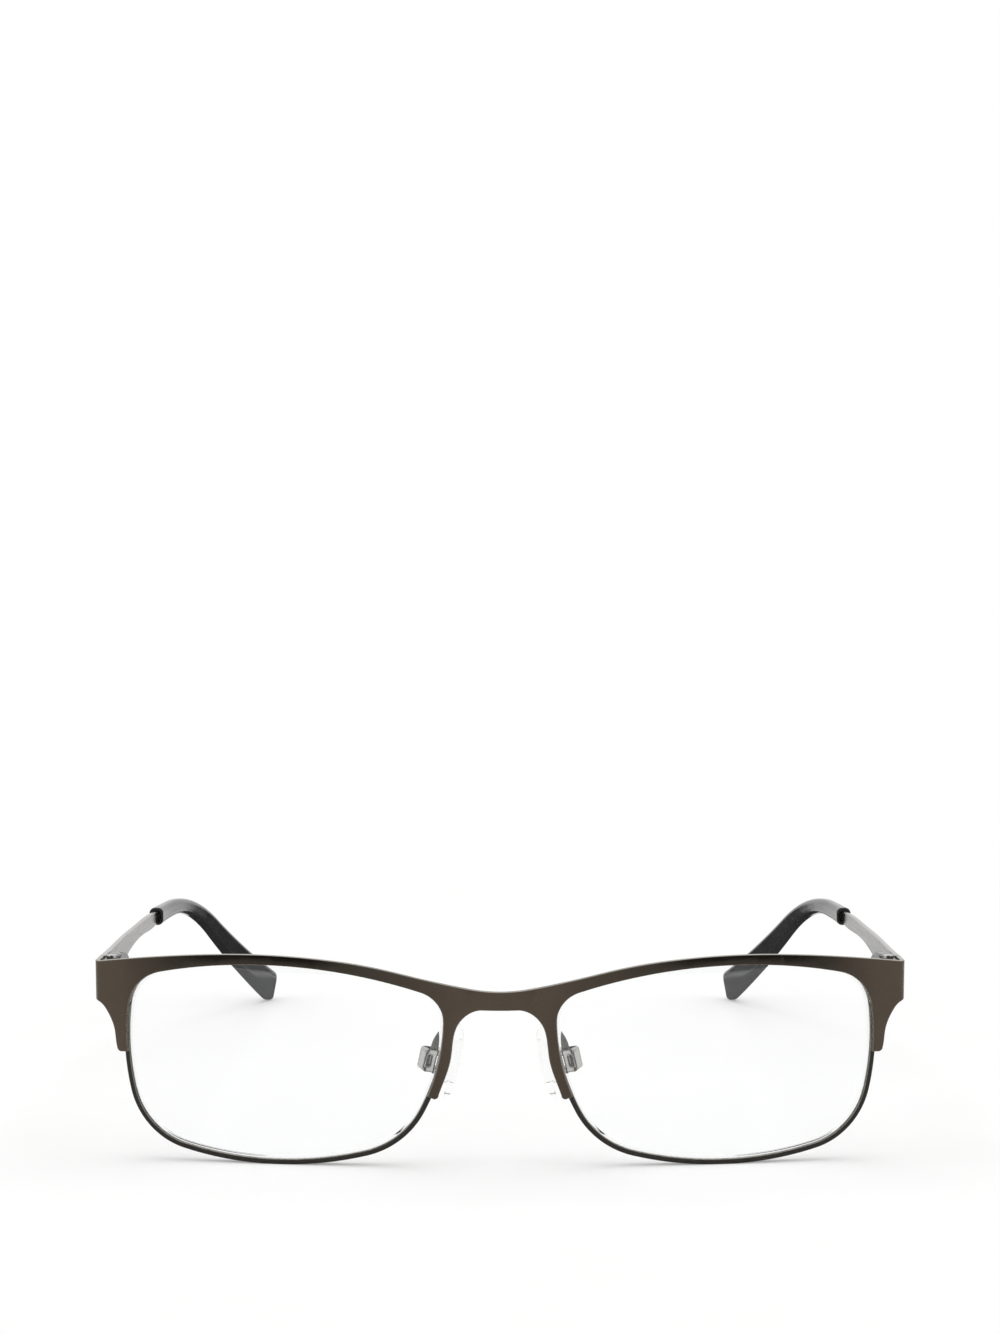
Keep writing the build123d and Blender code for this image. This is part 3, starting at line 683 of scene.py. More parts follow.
def even_loop(points, step):
    """Closed loop resampled at an even step, its sharp corners kept close."""
    moved = np.hypot(*np.diff(points, axis=0).T) > 1e-6
    points = points[np.concatenate([[True], moved])]
    made = []
    for point, after in zip(points, np.roll(points, -1, axis=0)):
        steps = max(1, math.ceil(math.hypot(*(after - point)) / step))
        made += [point + (after - point) * k / steps for k in range(steps)]
    return np.array(made)


def inside(points, loop):
    """Which points lie inside a closed loop."""
    x, y = points.T
    result = np.zeros(len(points), bool)
    for (ax, ay), (bx, by) in zip(loop, np.roll(loop, -1, axis=0)):
        crosses = (ay > y) != (by > y)
        if crosses.any():
            result ^= crosses & (x < (bx - ax) * (y - ay) / (by - ay) + ax)
    return result


def plate_piece():
    """Stamped plate: a curved sheet with rounded edges round its outline and both openings."""
    half = plate_half_outline()
    loop = even_loop(np.vstack([half, (half * [-1, 1])[::-1]]), plate_step)[::-1]
    count = len(loop)
    run = np.roll(loop, -1, axis=0) - np.roll(loop, 1, axis=0)
    run /= np.linalg.norm(run, axis=1)[:, None]
    inward = np.stack([-run[:, 1], run[:, 0]], axis=1)
    turns = np.linspace(0, math.pi / 2, 5)
    edge = plate_edge_radius * (1 - np.stack([np.sin(turns), np.cos(turns)], axis=1))
    profile = [*edge, *((inset, plate_thickness - depth) for inset, depth in edge[::-1])]
    rings = [front_world(*(loop + inward * inset).T, depth) for inset, depth in profile]
    flat_loop = loop + inward * plate_edge_radius
    grid = np.array([
        (s, z) for s in np.arange(-sheet_length, sheet_length, plate_grid)
        for z in np.arange(-nasal_foot_depth, brow_points[4][1], plate_grid)
    ])
    grid = grid[inside(grid, flat_loop)]
    grid = [point for point in grid if np.hypot(*(flat_loop - point).T).min() >= plate_grid / 2]
    edges = [(i, (i + 1) % count) for i in range(count)]
    made = delaunay_2d_cdt([Vector(point) for point in [*flat_loop, *grid]], edges, [], 0, 1e-7)
    places, triangles = np.array(made[0]), np.array(made[2])
    triangles = triangles[inside(places[triangles].mean(axis=1), flat_loop)]
    source = np.array([ids[0] if ids else count for ids in made[3]])
    fresh = source >= count
    faces = ring_faces(len(profile), count)
    start = len(profile) * count
    for depth, ring_start, order in ((0.0, 0, 1), (plate_thickness, start - count, -1)):
        index = np.where(fresh, start + np.cumsum(fresh) - 1, ring_start + source)
        rings.append(front_world(*places[fresh].T, depth))
        faces += index[triangles][:, ::order].tolist()
        start += fresh.sum()
    return weighted(outward(mesh_piece("stamped_plate", np.vstack(rings), faces)))


# Rim wires and lenses


def rim_profile():
    """Cross-section of the rim wire: radial distance and depth, with the lens groove."""
    back = rim_front + rim_depth
    middle = rim_front + rim_depth / 2
    groove_front = middle - groove_width / 2
    groove_back = middle + groove_width / 2
    outer = rim_width - rim_edge_radius
    lip = rim_lip_radius
    return np.vstack([
        rounded([
            ((outer, rim_front + rim_edge_radius), rim_edge_radius, -90),
            ((outer, back - rim_edge_radius), rim_edge_radius, 0),
            ((lip, back - lip), lip, 90),
            ((lip, groove_back + lip), lip, 180),
        ], rim_round_steps),
        [(groove_depth, groove_back), (groove_depth, groove_front)],
        rounded([((lip, groove_front - lip), lip, 90), ((lip, rim_front + lip), lip, 180)], rim_round_steps),
    ])


def split_order():
    """Opening samples in order from one lip of the split round to the other."""
    from_split = np.where(OPENING[:, 0] > 0, np.abs(OPENING[:, 1] - split_height), np.inf)
    return np.roll(np.arange(len(OPENING)), -int(np.argmin(from_split)))[1:]


def rim_piece(side_name, material, lip_material):
    """Grooved wire round the lens, with a lighter colour on its inner lips that is a painted reflection."""
    profile = rim_profile()
    count = len(profile)
    rings = [
        lens_world(OPENING[i] + OPENING_OUT[i] * profile[:, :1], profile[:, 1], side_name)
        for i in split_order()
    ]
    piece = skinned(f"{side_name}_rim_wire", rings)
    settle(piece, "front", material, "black_wire", f"{side_name}_eyewire")
    # The inner lip faces get a lighter colour: a painted reflection of the bright surroundings
    walls = range((len(rings) - 1) * count)
    return repaint(piece, lip_material, [i for i in walls if 2 * rim_round_steps <= i % count < count - 1])


def lens_piece(side_name, material):
    """Thin curved lens with the ridge that sits in the rim."""
    middle = rim_front + rim_depth / 2
    front, back = middle - lens_thickness / 2, middle + lens_thickness / 2
    shares = np.linspace(0, 1, lens_rings + 1)[1:] ** lens_ring_power
    rows = [
        *((share, -lens_play * share, front) for share in shares),
        (1.0, -lens_play, middle - bevel_width / 2),
        (1.0, groove_depth * lens_ridge_share, middle),
        (1.0, -lens_play, middle + bevel_width / 2),
        *((share, -lens_play * share, back) for share in shares[::-1]),
    ]
    rings = [
        lens_world(OPENING * share + OPENING_OUT * spread, depth, side_name) for share, spread, depth in rows
    ]
    hubs = lens_world(np.zeros((2, 2)), [front, back], side_name)
    piece = hubbed(f"{side_name}_clear_lens", rings, hubs)
    return settle(piece, "front", material, "lens", f"{side_name}_lens")


# Temples


def inward_course(back):
    """Inward offset and plan slope of a temple at a distance back from the pin."""
    bow = np.clip(np.minimum(back, collar_length) - blade_straight, 0, None)
    slope = np.arcsin(bow / blade_bow_radius)
    rest = np.clip(back - collar_length, 0, None)
    angle = np.arcsin(np.sin(slope) + rest / tip_bow_radius)
    inward = blade_bow_radius * (1 - np.cos(slope)) + tip_bow_radius * (np.cos(slope) - np.cos(angle))
    return inward, angle


def side_course(length):
    """Distance back, height and downward slope at a length along the temple."""
    arc = ear_bend_radius * ear_bend_turn
    angle = np.clip((length - ear_bend_start) / ear_bend_radius, 0, ear_bend_turn)
    rest = np.clip(length - ear_bend_start - arc, 0, None)
    straight = np.minimum(length, ear_bend_start)
    back = straight + ear_bend_radius * np.sin(angle) + rest * math.cos(ear_bend_turn)
    drop = ear_bend_radius * (1 - np.cos(angle)) + rest * math.sin(ear_bend_turn)
    return back, -drop, angle


tip_length = ear_bend_start + ear_bend_radius * ear_bend_turn + tip_straight_length
blade_offset = hinge_seat + blade_thickness / 2


def temple_world(points, side_name):
    """Points given outwards, back and up from the hinge pin of one side, in the standing frame."""
    return on_side(hinge_world(points), side_name)


def blade_section(half_thickness, low, high, radius, steps=4):
    """Rounded rectangle as offsets across the blade and heights."""
    side, top, foot = half_thickness - radius, high - radius, low + radius
    return rounded([
        ((side, top), radius, 0), ((-side, top), radius, 90),
        ((-side, foot), radius, 180), ((side, foot), radius, 270),
    ], steps)


def blade_piece(side_name, material):
    """Tapering spring-steel blade up to where it enters the tip."""
    top = clamped_spline(blade_top_points, -0.02, 0.0)
    foot = clamped_spline(blade_foot_points, 0.02, 0.0)
    rings = []
    for station in np.linspace(butt_gap / 2, collar_length + blade_in_tip, 200):
        low, high = float(foot(station)), float(top(station))
        section = blade_section(blade_thickness / 2, low, high, blade_edge_radius)
        inward, slope = inward_course(np.array(station))
        place = np.stack([
            blade_offset - inward + section[:, 0] * np.cos(slope),
            station + section[:, 0] * np.sin(slope),
            section[:, 1],
        ], axis=1)
        rings.append(temple_world(place, side_name))
    piece = weighted(skinned(f"{side_name}_blade", rings))
    return settle(piece, f"{side_name}_temple", material, "gunmetal", f"{side_name}_temple")


def tip_outline(half_thickness, half_height, radius):
    """Rounded rectangle with a few points along its flat sides."""
    corners = blade_section(half_thickness, -half_height, half_height, radius, tip_edge_steps)
    arcs = corners.reshape(4, tip_edge_steps, 2)
    made = []
    for arc, following in zip(arcs, np.roll(arcs, -1, axis=0)):
        flat = following[0] - arc[-1]
        made += [*arc, *(arc[-1] + flat * share for share in tip_flat_shares)]
    return np.array(made)


def tip_stations():
    """Share of the tip's length and shares of its height and thickness there, ring by ring."""
    body = [share for share in np.linspace(0, tip_end_share, 150) if share > tip_lip_end]
    stations = tip_lip_rings + [(share, 1.0, 1.0) for share in body]
    for share in tip_end_share + (1 - tip_end_share) * np.sin(np.linspace(0, math.pi / 2, 14))[1:]:
        closing = (share - tip_end_share) / (1 - tip_end_share)
        curve = math.sqrt(max(0.0, 1 - closing ** tip_end_power))
        if closing < 1:
            stations.append((share, *(least + (1 - least) * curve for least in tip_end_least)))
        else:
            stations.append((share, *tip_last_ring))
    return stations


def tip_piece(side_name, material, lip_material):
    """Moulded tip with a soft oval section, an open collar and a rounded end."""
    heights = clamped_spline(tip_height_shares, -0.4, 0.5)
    thicknesses = clamped_spline(tip_thickness_shares, -0.4, 0.0)
    rings = []
    for share, height_part, thickness_part in tip_stations():
        length = collar_length + share * (tip_length - collar_length)
        back, height, fall = side_course(np.array(length))
        inward, slope = inward_course(back)
        fall = fall - tip_end_tilt * max(0.0, (share - tip_end_share) / (1 - tip_end_share))
        half_height = float(heights(share)) * tip_height / 2 * height_part
        half_thickness = float(thicknesses(share)) * tip_thickness / 2 * thickness_part
        across = np.array([math.cos(slope), math.sin(slope), 0.0])
        up = np.array([-math.sin(slope) * math.sin(fall), math.cos(slope) * math.sin(fall), math.cos(fall)])
        middle = np.array([blade_offset - inward, back, height + temple_rise])
        edge_radius = tip_edge_share * min(half_thickness, half_height)
        section = tip_outline(half_thickness, half_height, edge_radius)
        ring = middle + section[:, :1] * across + section[:, 1:] * up
        rings.append(temple_world(ring, side_name))
    piece = weighted(skinned(f"{side_name}_moulded_tip", rings))
    settle(piece, f"{side_name}_temple", material, "black_tip", f"{side_name}_temple_tip")
    # Matt black on the collar's lip and on the face closing its mouth; on that face it is painted shade for
    # the hollow
    count = len(rings[0])
    return repaint(piece, lip_material, [*range(count * len(tip_lip_rings)), (len(rings) - 1) * count])


# Coil springs


def smooth_tube(name, centres, radii, steps=20):
    """Round tube along a list of points, its radius given at each."""
    centres = np.array(centres, float)
    tangents = np.gradient(centres, axis=0)
    tangents /= np.linalg.norm(tangents, axis=1)[:, None]
    normal = np.cross(tangents[0], [1.0, 0.2, 0.1])
    angles = np.linspace(0, 2 * math.pi, steps, endpoint=False)
    rings = []
    for centre, tangent, radius in zip(centres, tangents, radii):
        normal = normal - tangent * np.dot(normal, tangent)
        normal /= np.linalg.norm(normal)
        other = np.cross(tangent, normal)
        rings.append(centre + radius * (np.cos(angles)[:, None] * normal + np.sin(angles)[:, None] * other))
    return skinned(name, rings)


def spring_piece(side_name, material):
    """Open-wound spring between stop and nut."""
    turns = np.linspace(0, spring_turns * 2 * math.pi, spring_turns * 20 + 1)
    reach = spring_end - spring_start - spring_wire
    centres = np.stack([
        spring_coil_radius * np.cos(turns),
        spring_start + spring_wire / 2 + reach * turns / turns[-1],
        spring_coil_radius * np.sin(turns),
    ], axis=1)
    radii = np.full(len(turns), spring_wire / 2)
    piece = smooth_tube(f"{side_name}_coil", temple_world(centres, side_name), radii, 8)
    settle(piece, f"{side_name}_temple", material, "steel", f"{side_name}_flex_spring")
    anchor, far = temple_world([[0, spring_start, 0], [0, spring_end, 0]], side_name) * METRE
    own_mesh(piece)


# Nose pads and their arms


def pad_frame():
    """Origin and axes of the left pad's face, upright front frame: across, up, towards the nose."""
    normal = np.array([
        -math.cos(pad_splay) * math.cos(pad_frontal),
        math.sin(pad_splay),
        -math.cos(pad_splay) * math.sin(pad_frontal),
    ])
    across = np.cross([0, 0, 1], normal)
    across /= np.linalg.norm(across)
    up = np.cross(normal, across)
    return np.array([pad_face_from_centre, pad_behind_front, -pad_drop]), across, up, normal


def pad_oval(count):
    """Outline of the pad made of two long and two short arcs, evenly spaced."""
    half = pad_width / 2
    end_radius = pad_end_round_share * half
    end_centre = pad_height / 2 - end_radius
    side_radius = (half ** 2 + end_centre ** 2 - end_radius ** 2) / (2 * (half - end_radius))
    side_centre = side_radius - half
    turn = math.degrees(math.atan2(end_centre, side_centre))
    arcs = [
        ((-side_centre, 0), side_radius, -turn, turn), ((0, end_centre), end_radius, turn, 180 - turn),
        ((side_centre, 0), side_radius, 180 - turn, 180 + turn),
        ((0, -end_centre), end_radius, 180 + turn, 360 - turn),
    ]
    return even_loop(np.vstack([corner_arc(*arc, 60)[:-1] for arc in arcs]), pad_height * 2.5 / count)


def upright_world(points, side_name):
    """Points of the upright front frame in the standing frame."""
    return on_side(tilted(points) + offset_front, side_name)


def pad_piece(side_name, material):
    """Soft pad with a gently domed face."""
    origin, across, up, normal = pad_frame()
    loop = pad_oval(96)
    rings = []
    for share, depth in pad_profile:
        ring = origin + share * (loop[:, :1] * across + loop[:, 1:] * up)
        rings.append(upright_world(ring - normal * depth * pad_thickness / 2, side_name))
    piece = hubbed(f"{side_name}_soft_pad", rings[1:-1], [rings[0][0], rings[-1][0]])
    return settle(piece, f"{side_name}_pad", material, "silicone", f"{side_name}_nose_pad")


def bezier(points, count):
    """Points of the curve that a control polygon draws."""
    at = np.linspace(0, 1, count)[:, None]
    degree = len(points) - 1
    return sum(
        math.comb(degree, k) * at ** k * (1 - at) ** (degree - k) * point for k, point in enumerate(points)
    )


def arm_piece(side_name, material):
    """Bent wire from the rim to the pad box, with its solder foot."""
    origin, _, up, normal = pad_frame()
    box_middle = origin - normal * (pad_thickness + pad_box_gap + pad_box_length / 2)
    start_s = along_sheet(pad_arm_from_centre)
    start = sheet_point(start_s, np.array(pad_arm_rim_height), rim_front + rim_depth)
    back = start + np.array([0, pad_arm_back_run, 0])
    above = box_middle + up * (pad_box_height / 2 + pad_arm_rise)
    end = box_middle + up * pad_box_height / 2
    curve = bezier([
        start, start + (back - start) * 0.7, back, (back + above) / 2,
        above, above + (end - above) * 0.3, end,
    ], 60)
    share = np.linspace(0, 1, len(curve))
    foot = solder_growth * np.exp(-((share / solder_share) ** 2))
    radii = pad_arm_radius * (1 + foot + box_end_growth * np.exp(-(((1 - share) / box_end_share) ** 2)))
    piece = smooth_tube(f"{side_name}_arm_wire", upright_world(curve, side_name), radii)
    return settle(piece, "front", material, "grey_metal", f"{side_name}_pad_arm")


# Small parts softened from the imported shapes


def softened(side_name, part, body, material, slot):
    """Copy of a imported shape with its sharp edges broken."""
    node = f"{side_name}_{part}"
    source = frame["nodes"][node]
    mesh = source.data.copy()
    piece = add_object(f"{node}_shape", mesh)
    bpy.context.view_layer.update()
    piece.matrix_world = source.matrix_world.copy()
    for polygon in mesh.polygons:
        polygon.use_smooth = True
    weld = piece.modifiers.new("weld", "WELD")
    weld.merge_threshold = 0.002 * METRE
    bevel = piece.modifiers.new("broken edges", "BEVEL")
    bevel.width = broken_edges[part] * METRE
    bevel.segments = 2
    bevel.limit_method = "ANGLE"
    bevel.angle_limit = broken_edge_angle
    bevel.harden_normals = False
    return settle(weighted(piece), body, material, slot, node)


# Materials


SHADER_INPUTS = {
    "metallic": "Metallic", "roughness": "Roughness", "ior": "IOR", "gloss": "Specular IOR Level",
    "clear": "Transmission Weight",
}


class Tree:
    """Nodes of a material or a world, with short ways to add the usual ones."""

    def __init__(self, owner):
        owner.use_nodes = True
        self.owner = owner
        self.nodes = owner.node_tree.nodes
        self.links = owner.node_tree.links

    def fill(self, socket, value):
        """Gives a socket another node's output, a colour or a plain value."""
        if isinstance(value, bpy.types.NodeSocket):
            self.links.new(value, socket)
        elif socket.type == "RGBA":
            socket.default_value = (*value, 1)
        else:
            socket.default_value = value

    def add(self, kind, inputs, output=0, **settings):
        """Adds a node with its settings and inputs, and returns one of its outputs."""
        node = self.nodes.new(f"ShaderNode{kind}")
        for name, value in settings.items():
            setattr(node, name, value)
        for place, value in inputs.items():
            self.fill(node.inputs[place], value)
        return node.outputs[output]

    def noise(self, scale, detail=3.0, stretch=(1, 1, 1)):
        """Noise on the piece's own coordinates, in metres."""
        own = self.add("TexCoord", {}, "Object")
        place = self.add("Mapping", {0: own, "Scale": stretch})
        return self.add("TexNoise", {"Vector": place, "Scale": scale, "Detail": detail}, "Fac")

    def ranged(self, value, low=0.3, high=0.7, out_low=0.0, out_high=1.0):
        """A value stretched from one range onto another."""
        return self.add("MapRange", {
            "Value": value, "From Min": low, "From Max": high, "To Min": out_low, "To Max": out_high,
        }, "Result")

    def mixed(self, factor, first, second):
        """Blend of two colours, each written out or coming from another node."""
        return self.add("Mix", {"Factor": factor, "A": first, "B": second}, "Result", data_type="RGBA")

    def coordinate(self, kind, axis):
        """One coordinate of the place or the normal on the piece."""
        return self.add("SeparateXYZ", {0: self.add("TexCoord", {}, kind)}, axis)

    def edge_wear_and_painted_edge(self, width, low, high):
        """Rises on edges whose bevelled normal turns away from the true one."""
        bevelled = self.add("Bevel", {"Radius": width * METRE}, samples=4)
        true = self.add("NewGeometry", {}, "Normal")
        match = self.add("VectorMath", {0: bevelled, 1: true}, "Value", operation="DOT_PRODUCT")
        return self.ranged(match, high, low)


class Look(Tree):
    """A material with one main shader, whose inputs can be given at once."""

    def __init__(self, name, **inputs):
        super().__init__(bpy.data.materials.new(name))
        self.nodes.clear()
        self.output = self.nodes.new("ShaderNodeOutputMaterial")
        self.shader = self.nodes.new("ShaderNodeBsdfPrincipled")
        self.show(self.shader.outputs[0])
        for given, value in inputs.items():
            self.feed(SHADER_INPUTS[given], value)

    def show(self, surface):
        """Sends a shader to the material's output."""
        self.fill(self.output.inputs[0], surface)

    def feed(self, name, value):
        """Gives one of the main shader's inputs its value."""
        self.fill(self.shader.inputs[name], value)

    def bump(self, height, strength, distance):
        """Fine relief in the surface, its depth in millimetres."""
        self.feed("Normal", self.add("Bump", {
            "Strength": strength, "Distance": distance * METRE, "Height": height,
        }))

    def finish(self, pattern, low, high, strength, distance):
        """Lets roughness and relief follow a noise pattern."""
        self.feed("Roughness", self.ranged(pattern, out_low=low, out_high=high))
        self.bump(pattern, strength, distance)


def satin_brown():
    """Satin brown-grey plating with a fine grain, a painted dark reflection along each brow bar's middle,
    painted light on faces turned up, and edges lighter from wear and a painted highlight.
    """
    look = Look("satin_brown", metallic=1.0)
    cloud = look.ranged(look.noise(90.0, 2.0))
    tone = look.mixed(cloud, (0.078, 0.061, 0.046), (0.088, 0.069, 0.053))
    # Painted dark reflection: the middle of each bar is given this darker colour
    painted_dark_reflection_tone = look.mixed(cloud, (0.044, 0.037, 0.030), (0.052, 0.044, 0.036))
    main_tone = look.mixed(painted_bar_reflection(look), tone, painted_dark_reflection_tone)
    # Lighter edges: partly wear, partly a painted highlight of light caught along the edges
    worn_and_highlit = look.mixed(look.edge_wear_and_painted_edge(0.1, 0.985, 0.999), main_tone, (0.20, 0.18, 0.155))
    # Painted light: faces turned upwards get a lighter colour
    painted_top_light = look.ranged(look.coordinate("Normal", 2), 0.75, 0.95)
    look.feed("Base Color", look.mixed(painted_top_light, worn_and_highlit, (0.36, 0.34, 0.31)))
    grain = look.noise(2600.0, 4.0, (0.06, 1, 1))
    look.finish(grain, 0.25, 0.33, 0.06, 0.008)
    return look.owner


def painted_bar_reflection(look):
    """One along the middle of each brow bar, where a dark reflection is painted into the plating, and zero
    at its ends.
    """
    sideways = look.add("Math", {0: look.coordinate("Object", 0)}, operation="ABSOLUTE")
    ramp = look.nodes.new("ShaderNodeValToRGB")
    look.fill(ramp.inputs[0], look.ranged(sideways, 0.0, half_width * METRE))
    stops = [(0.10, 0.0), (0.20, 0.55), (0.40, 1.0), (0.80, 1.0), (0.93, 0.0)]
    bars = ramp.color_ramp.elements
    while len(bars) < len(stops):
        bars.new(0.5)
    for bar, (place, tone) in zip(bars, stops):
        bar.position = place
        bar.color = (tone, tone, tone, 1)
    return ramp.outputs[0]


def edge_toned_metal(name, metallic, edge_band, main_tone, edge_tone, grain, *finish):
    """Plating of one colour that turns to another along its edges: wear on the rims and temples, a painted
    dark reflection on the pad boxes.
    """
    look = Look(name, metallic=metallic)
    look.feed("Base Color", look.mixed(look.edge_wear_and_painted_edge(*edge_band), main_tone, edge_tone))
    look.finish(look.noise(*grain), *finish)
    return look.owner


def black_wire():
    """Near-black glossy plating of the rims."""
    main_tone, edge_tone = (0.030, 0.027, 0.024), (0.16, 0.15, 0.13)
    edge_band = (0.08, 0.985, 0.999)
    return edge_toned_metal("black_wire", 0.85, edge_band, main_tone, edge_tone, (900.0, 4.0), 0.16, 0.26, 0.05, 0.01)


def box_metal():
    """Polished faces of the pad boxes between darker edges, the dark edges being a painted reflection."""
    face, edge = (0.46, 0.45, 0.43), (0.045, 0.041, 0.038)
    return edge_toned_metal("box_metal", 1.0, (0.5, 0.95, 0.9995), face, edge, (900.0,), 0.08, 0.16, 0.1, 0.01)


def blade_metal():
    """Grey plating of the temples, brushed along their length."""
    main_tone, edge_tone = (0.34, 0.33, 0.315), (0.48, 0.46, 0.44)
    edge_band, grain = (0.1, 0.985, 0.999), (2200.0, 4.0, (1, 0.04, 1))
    return edge_toned_metal("blade_metal", 1.0, edge_band, main_tone, edge_tone, grain, 0.20, 0.24, 0.012, 0.002)


def cloudy_metal(name, scale, dark, light, fine_scale, *finish):
    """Metal whose tone drifts gently and whose gloss varies on a finer scale."""
    look = Look(name, metallic=1.0)
    look.feed("Base Color", look.mixed(look.ranged(look.noise(scale)), dark, light))
    look.finish(look.noise(fine_scale), *finish)
    return look.owner


def lip_painted_reflection():
    """Lighter metal of the rim's inner lips: a painted reflection of the bright surroundings seen at a
    grazing angle.
    """
    dark, light = (0.20, 0.19, 0.17), (0.27, 0.26, 0.235)
    return cloudy_metal("lip_painted_reflection", 900.0, dark, light, 900.0, 0.18, 0.28, 0.04, 0.006)


def grey_metal():
    """Dark grey metal of the pad arms and hinge parts."""
    dark, light = (0.075, 0.071, 0.066), (0.115, 0.11, 0.102)
    return cloudy_metal("grey_metal", 500.0, dark, light, 1200.0, 0.20, 0.28, 0.02, 0.003)


def steel():
    """Turned steel of the screws and springs."""
    dark, light = (0.42, 0.42, 0.41), (0.56, 0.56, 0.55)
    return cloudy_metal("steel", 1500.0, dark, light, 1500.0, 0.15, 0.3, 0.05, 0.005)


def tip_plastic():
    """Glossy black moulded tips with faint rubbing marks."""
    look = Look("tip_plastic", ior=1.62)
    cloud = look.ranged(look.noise(60.0, 5.0), 0.35, 0.65)
    look.feed("Base Color", look.mixed(cloud, (0.022, 0.022, 0.0225), (0.036, 0.036, 0.037)))
    look.finish(look.noise(700.0, 6.0, (1, 0.3, 1)), 0.08, 0.15, 0.02, 0.008)
    return look.owner


def collar_painted_shade():
    """Matt black of the open collar of each tip: black plastic on its lip, and painted shade on the face
    that closes its mouth.
    """
    look = Look("collar_painted_shade", gloss=0.2)
    cloud = look.noise(400.0)
    look.feed("Base Color", look.mixed(cloud, (0.008, 0.008, 0.008), (0.016, 0.016, 0.016)))
    look.feed("Roughness", look.ranged(cloud, out_low=0.45, out_high=0.6))
    return look.owner


def see_through(name, tint, ior, gloss, roughest, scale, shade):
    """Clear material that lets shadow rays pass."""
    look = Look(name, clear=1.0, ior=ior, gloss=gloss)
    look.feed("Base Color", tint)
    marks = look.noise(scale, 5.0)
    look.feed("Roughness", look.ranged(marks, 0.45, 0.75, 0.0, roughest))
    look.bump(marks, 0.02, 0.005)
    shadow = look.add("LightPath", {}, "Is Shadow Ray")
    clear = look.add("BsdfTransparent", {0: shade})
    look.show(look.add("MixShader", {0: shadow, 1: look.shader.outputs[0], 2: clear}))
    return look.owner


# Pieces on their bodies


def build_object():
    """Makes every piece, in its material and on its body."""
    wire, lip, metal, box, bright = black_wire(), lip_painted_reflection(), grey_metal(), box_metal(), steel()
    brown, blade, tip, collar = satin_brown(), blade_metal(), tip_plastic(), collar_painted_shade()
    lens = see_through("clear_lens", (0.985, 0.995, 0.99), 1.5, 0.15, 0.02, 60.0, (0.97, 0.98, 0.975))
    silicone_tint, silicone_shade = (0.985, 0.99, 0.985), (0.95, 0.96, 0.955)
    silicone = see_through("clear_silicone", silicone_tint, 1.12, 0.4, 0.05, 300.0, silicone_shade)
    core = see_through("clear_core", (0.975, 0.98, 0.975), 1.13, 0.4, 0.05, 400.0, (0.93, 0.94, 0.935))
    settle(plate_piece(), "front", brown, "gunmetal", "front_plate")
    for name in SIDES:
        rim_piece(name, wire, lip)
        lens_piece(name, lens)
        blade_piece(name, blade)
        tip_piece(name, tip, collar)
        pad_piece(name, silicone)
        arm_piece(name, metal)
        for part in ("closing_block_upper", "closing_block_lower"):
            softened(name, part, "front", wire, "black_wire")
        softened(name, "pad_box", "front", box, "grey_metal")
        softened(name, "front_hinge_leaf", "front", metal, "grey_metal")
        for part in ("rim_screw", "pad_screw", "hinge_screw"):
            softened(name, part, "front", bright, "steel")
        softened(name, "hinge_slider", f"{name}_slider", metal, "grey_metal")
        softened(name, "spring_box", f"{name}_temple", metal, "grey_metal")
        spring_piece(name, bright)
        for part, material in {"slider_nut": bright, "spring_stop": bright, "pad_core": core}.items():
            packed = frame["nodes"][f"{name}_{part}"]
            packed.data.materials.clear()
            packed.data.materials.append(material)


# Floor, light and camera


def floor_material():
    """Pale matt floor that fades into plain white away from the object."""
    look = Look("pale_floor", roughness=0.85, gloss=0.0)
    grain = look.ranged(look.noise(40.0, 4.0))
    look.feed("Base Color", look.mixed(grain, (0.955, 0.955, 0.95), (0.97, 0.97, 0.965)))
    glow = look.add("Emission", {0: (1, 1, 1), 1: 1.0})
    away = look.add("VectorMath", {0: look.add("TexCoord", {}, "Object")}, "Value", operation="LENGTH")
    fade = look.ranged(away, floor_fade_start * METRE, floor_fade_end * METRE, floor_glow, 1.0)
    look.show(look.add("MixShader", {0: fade, 1: look.shader.outputs[0], 2: glow}))
    return look.owner


def flat_sheet(first, last, near, far, low, high):
    """Corners of a flat sheet from its near lower edge to its far upper one."""
    return [(first, near, low), (last, near, low), (last, far, high), (first, far, high)]


def build_floor():
    """Flat floor under the object."""
    corners = flat_sheet(-floor_reach, floor_reach, -floor_reach, floor_reach, 0, 0)
    floor = mesh_piece("floor", corners, [range(4)], smooth=False)
    floor.data.materials.append(floor_material())


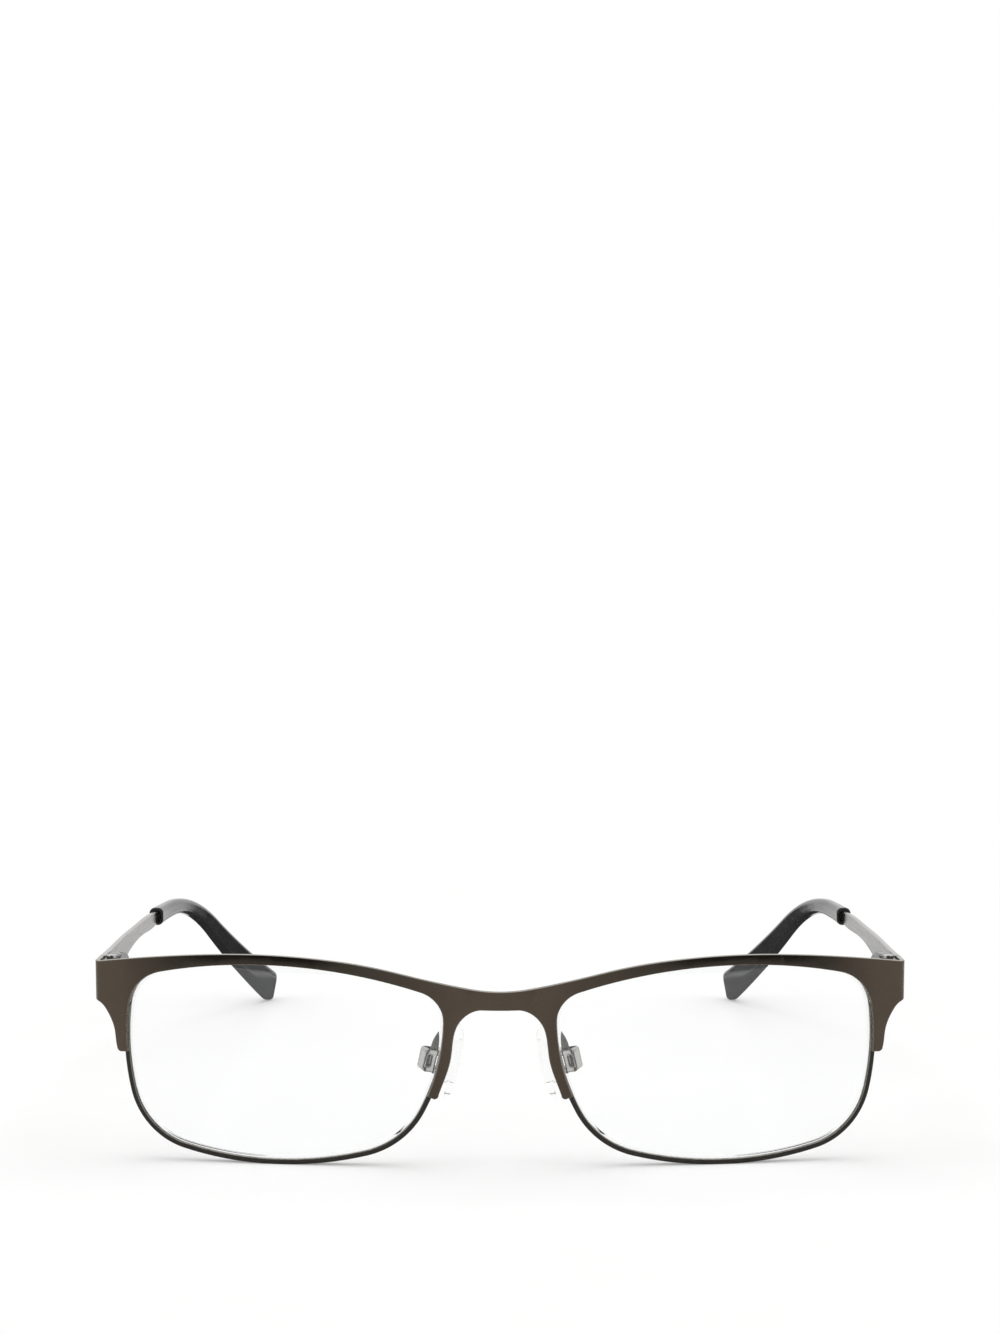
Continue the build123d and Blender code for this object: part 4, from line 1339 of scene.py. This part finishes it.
def build_lamps():
    """Large soft lamps above and on both sides."""
    for name, (place, aim, size, power) in lamps.items():
        data = bpy.data.lights.new(name, "AREA")
        data.shape = "RECTANGLE"
        data.size, data.size_y = [length * METRE for length in size]
        data.energy = power
        lamp = add_object(name, data)
        lamp.location = Vector(place) * METRE
        lamp.rotation_mode = "QUATERNION"
        lamp.rotation_quaternion = (Vector(aim) - Vector(place)).to_track_quat("-Z", "Y")


def build_world():
    """White surroundings, a little dimmer where they light matt surfaces than where they are seen."""
    world = bpy.data.worlds.new("studio")
    bpy.context.scene.world = world
    sky = Tree(world)
    background = sky.nodes["Background"]
    sky.fill(background.inputs[0], (1, 1, 1))
    matt = sky.add("LightPath", {}, "Is Diffuse Ray")
    sky.fill(background.inputs[1], sky.ranged(matt, 0.0, 1.0, 1.0, fill_strength))


def build_cards():
    """Dark cards ahead on both sides and one behind with a floor strip; only reflections show them."""
    look = Look("card", roughness=1.0, gloss=0.0)
    look.feed("Base Color", look.mixed(look.noise(200.0), (0.010, 0.010, 0.010), (0.016, 0.016, 0.016)))
    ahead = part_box("front_plate")[0].y / METRE - card_distance
    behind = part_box("left_temple_tip")[1].y / METRE + back_card_distance
    wide, side, strip_z = back_card_half_width, floor_strip_half_width, floor_strip_height
    cards = {
        "left_card": flat_sheet(card_inner, card_outer, ahead, ahead, card_foot, card_top),
        "right_card": flat_sheet(-card_outer, -card_inner, ahead, ahead, card_foot, card_top),
        "back_card": flat_sheet(-wide, wide, behind, behind, back_card_foot, card_top)
        + flat_sheet(-side, side, behind - floor_strip_depth, behind, strip_z, strip_z),
    }
    for name, corners in cards.items():
        sheets = [range(start, start + 4) for start in range(0, len(corners), 4)]
        card = mesh_piece(name, corners, sheets, smooth=False)
        card.data.materials.append(look.owner)
        for ray in ("camera", "diffuse", "transmission", "shadow"):
            setattr(card, f"visible_{ray}", False)


def build_camera():
    """Camera ahead of the front and a little above it, tipped down."""
    data = bpy.data.cameras.new("camera")
    data.sensor_width = camera_sensor
    data.lens = camera_lens
    data.clip_start = 0.01
    data.clip_end = 100
    camera = add_object("camera", data)
    camera.location = (0, -camera_distance * METRE, camera_height * METRE)
    camera.rotation_euler = (math.radians(90 - camera_pitch), 0, 0)
    bpy.context.scene.camera = camera


build_object()
build_floor()
build_world()
build_cards()
build_lamps()
build_camera()
bpy.context.scene.view_settings.view_transform = "Standard"
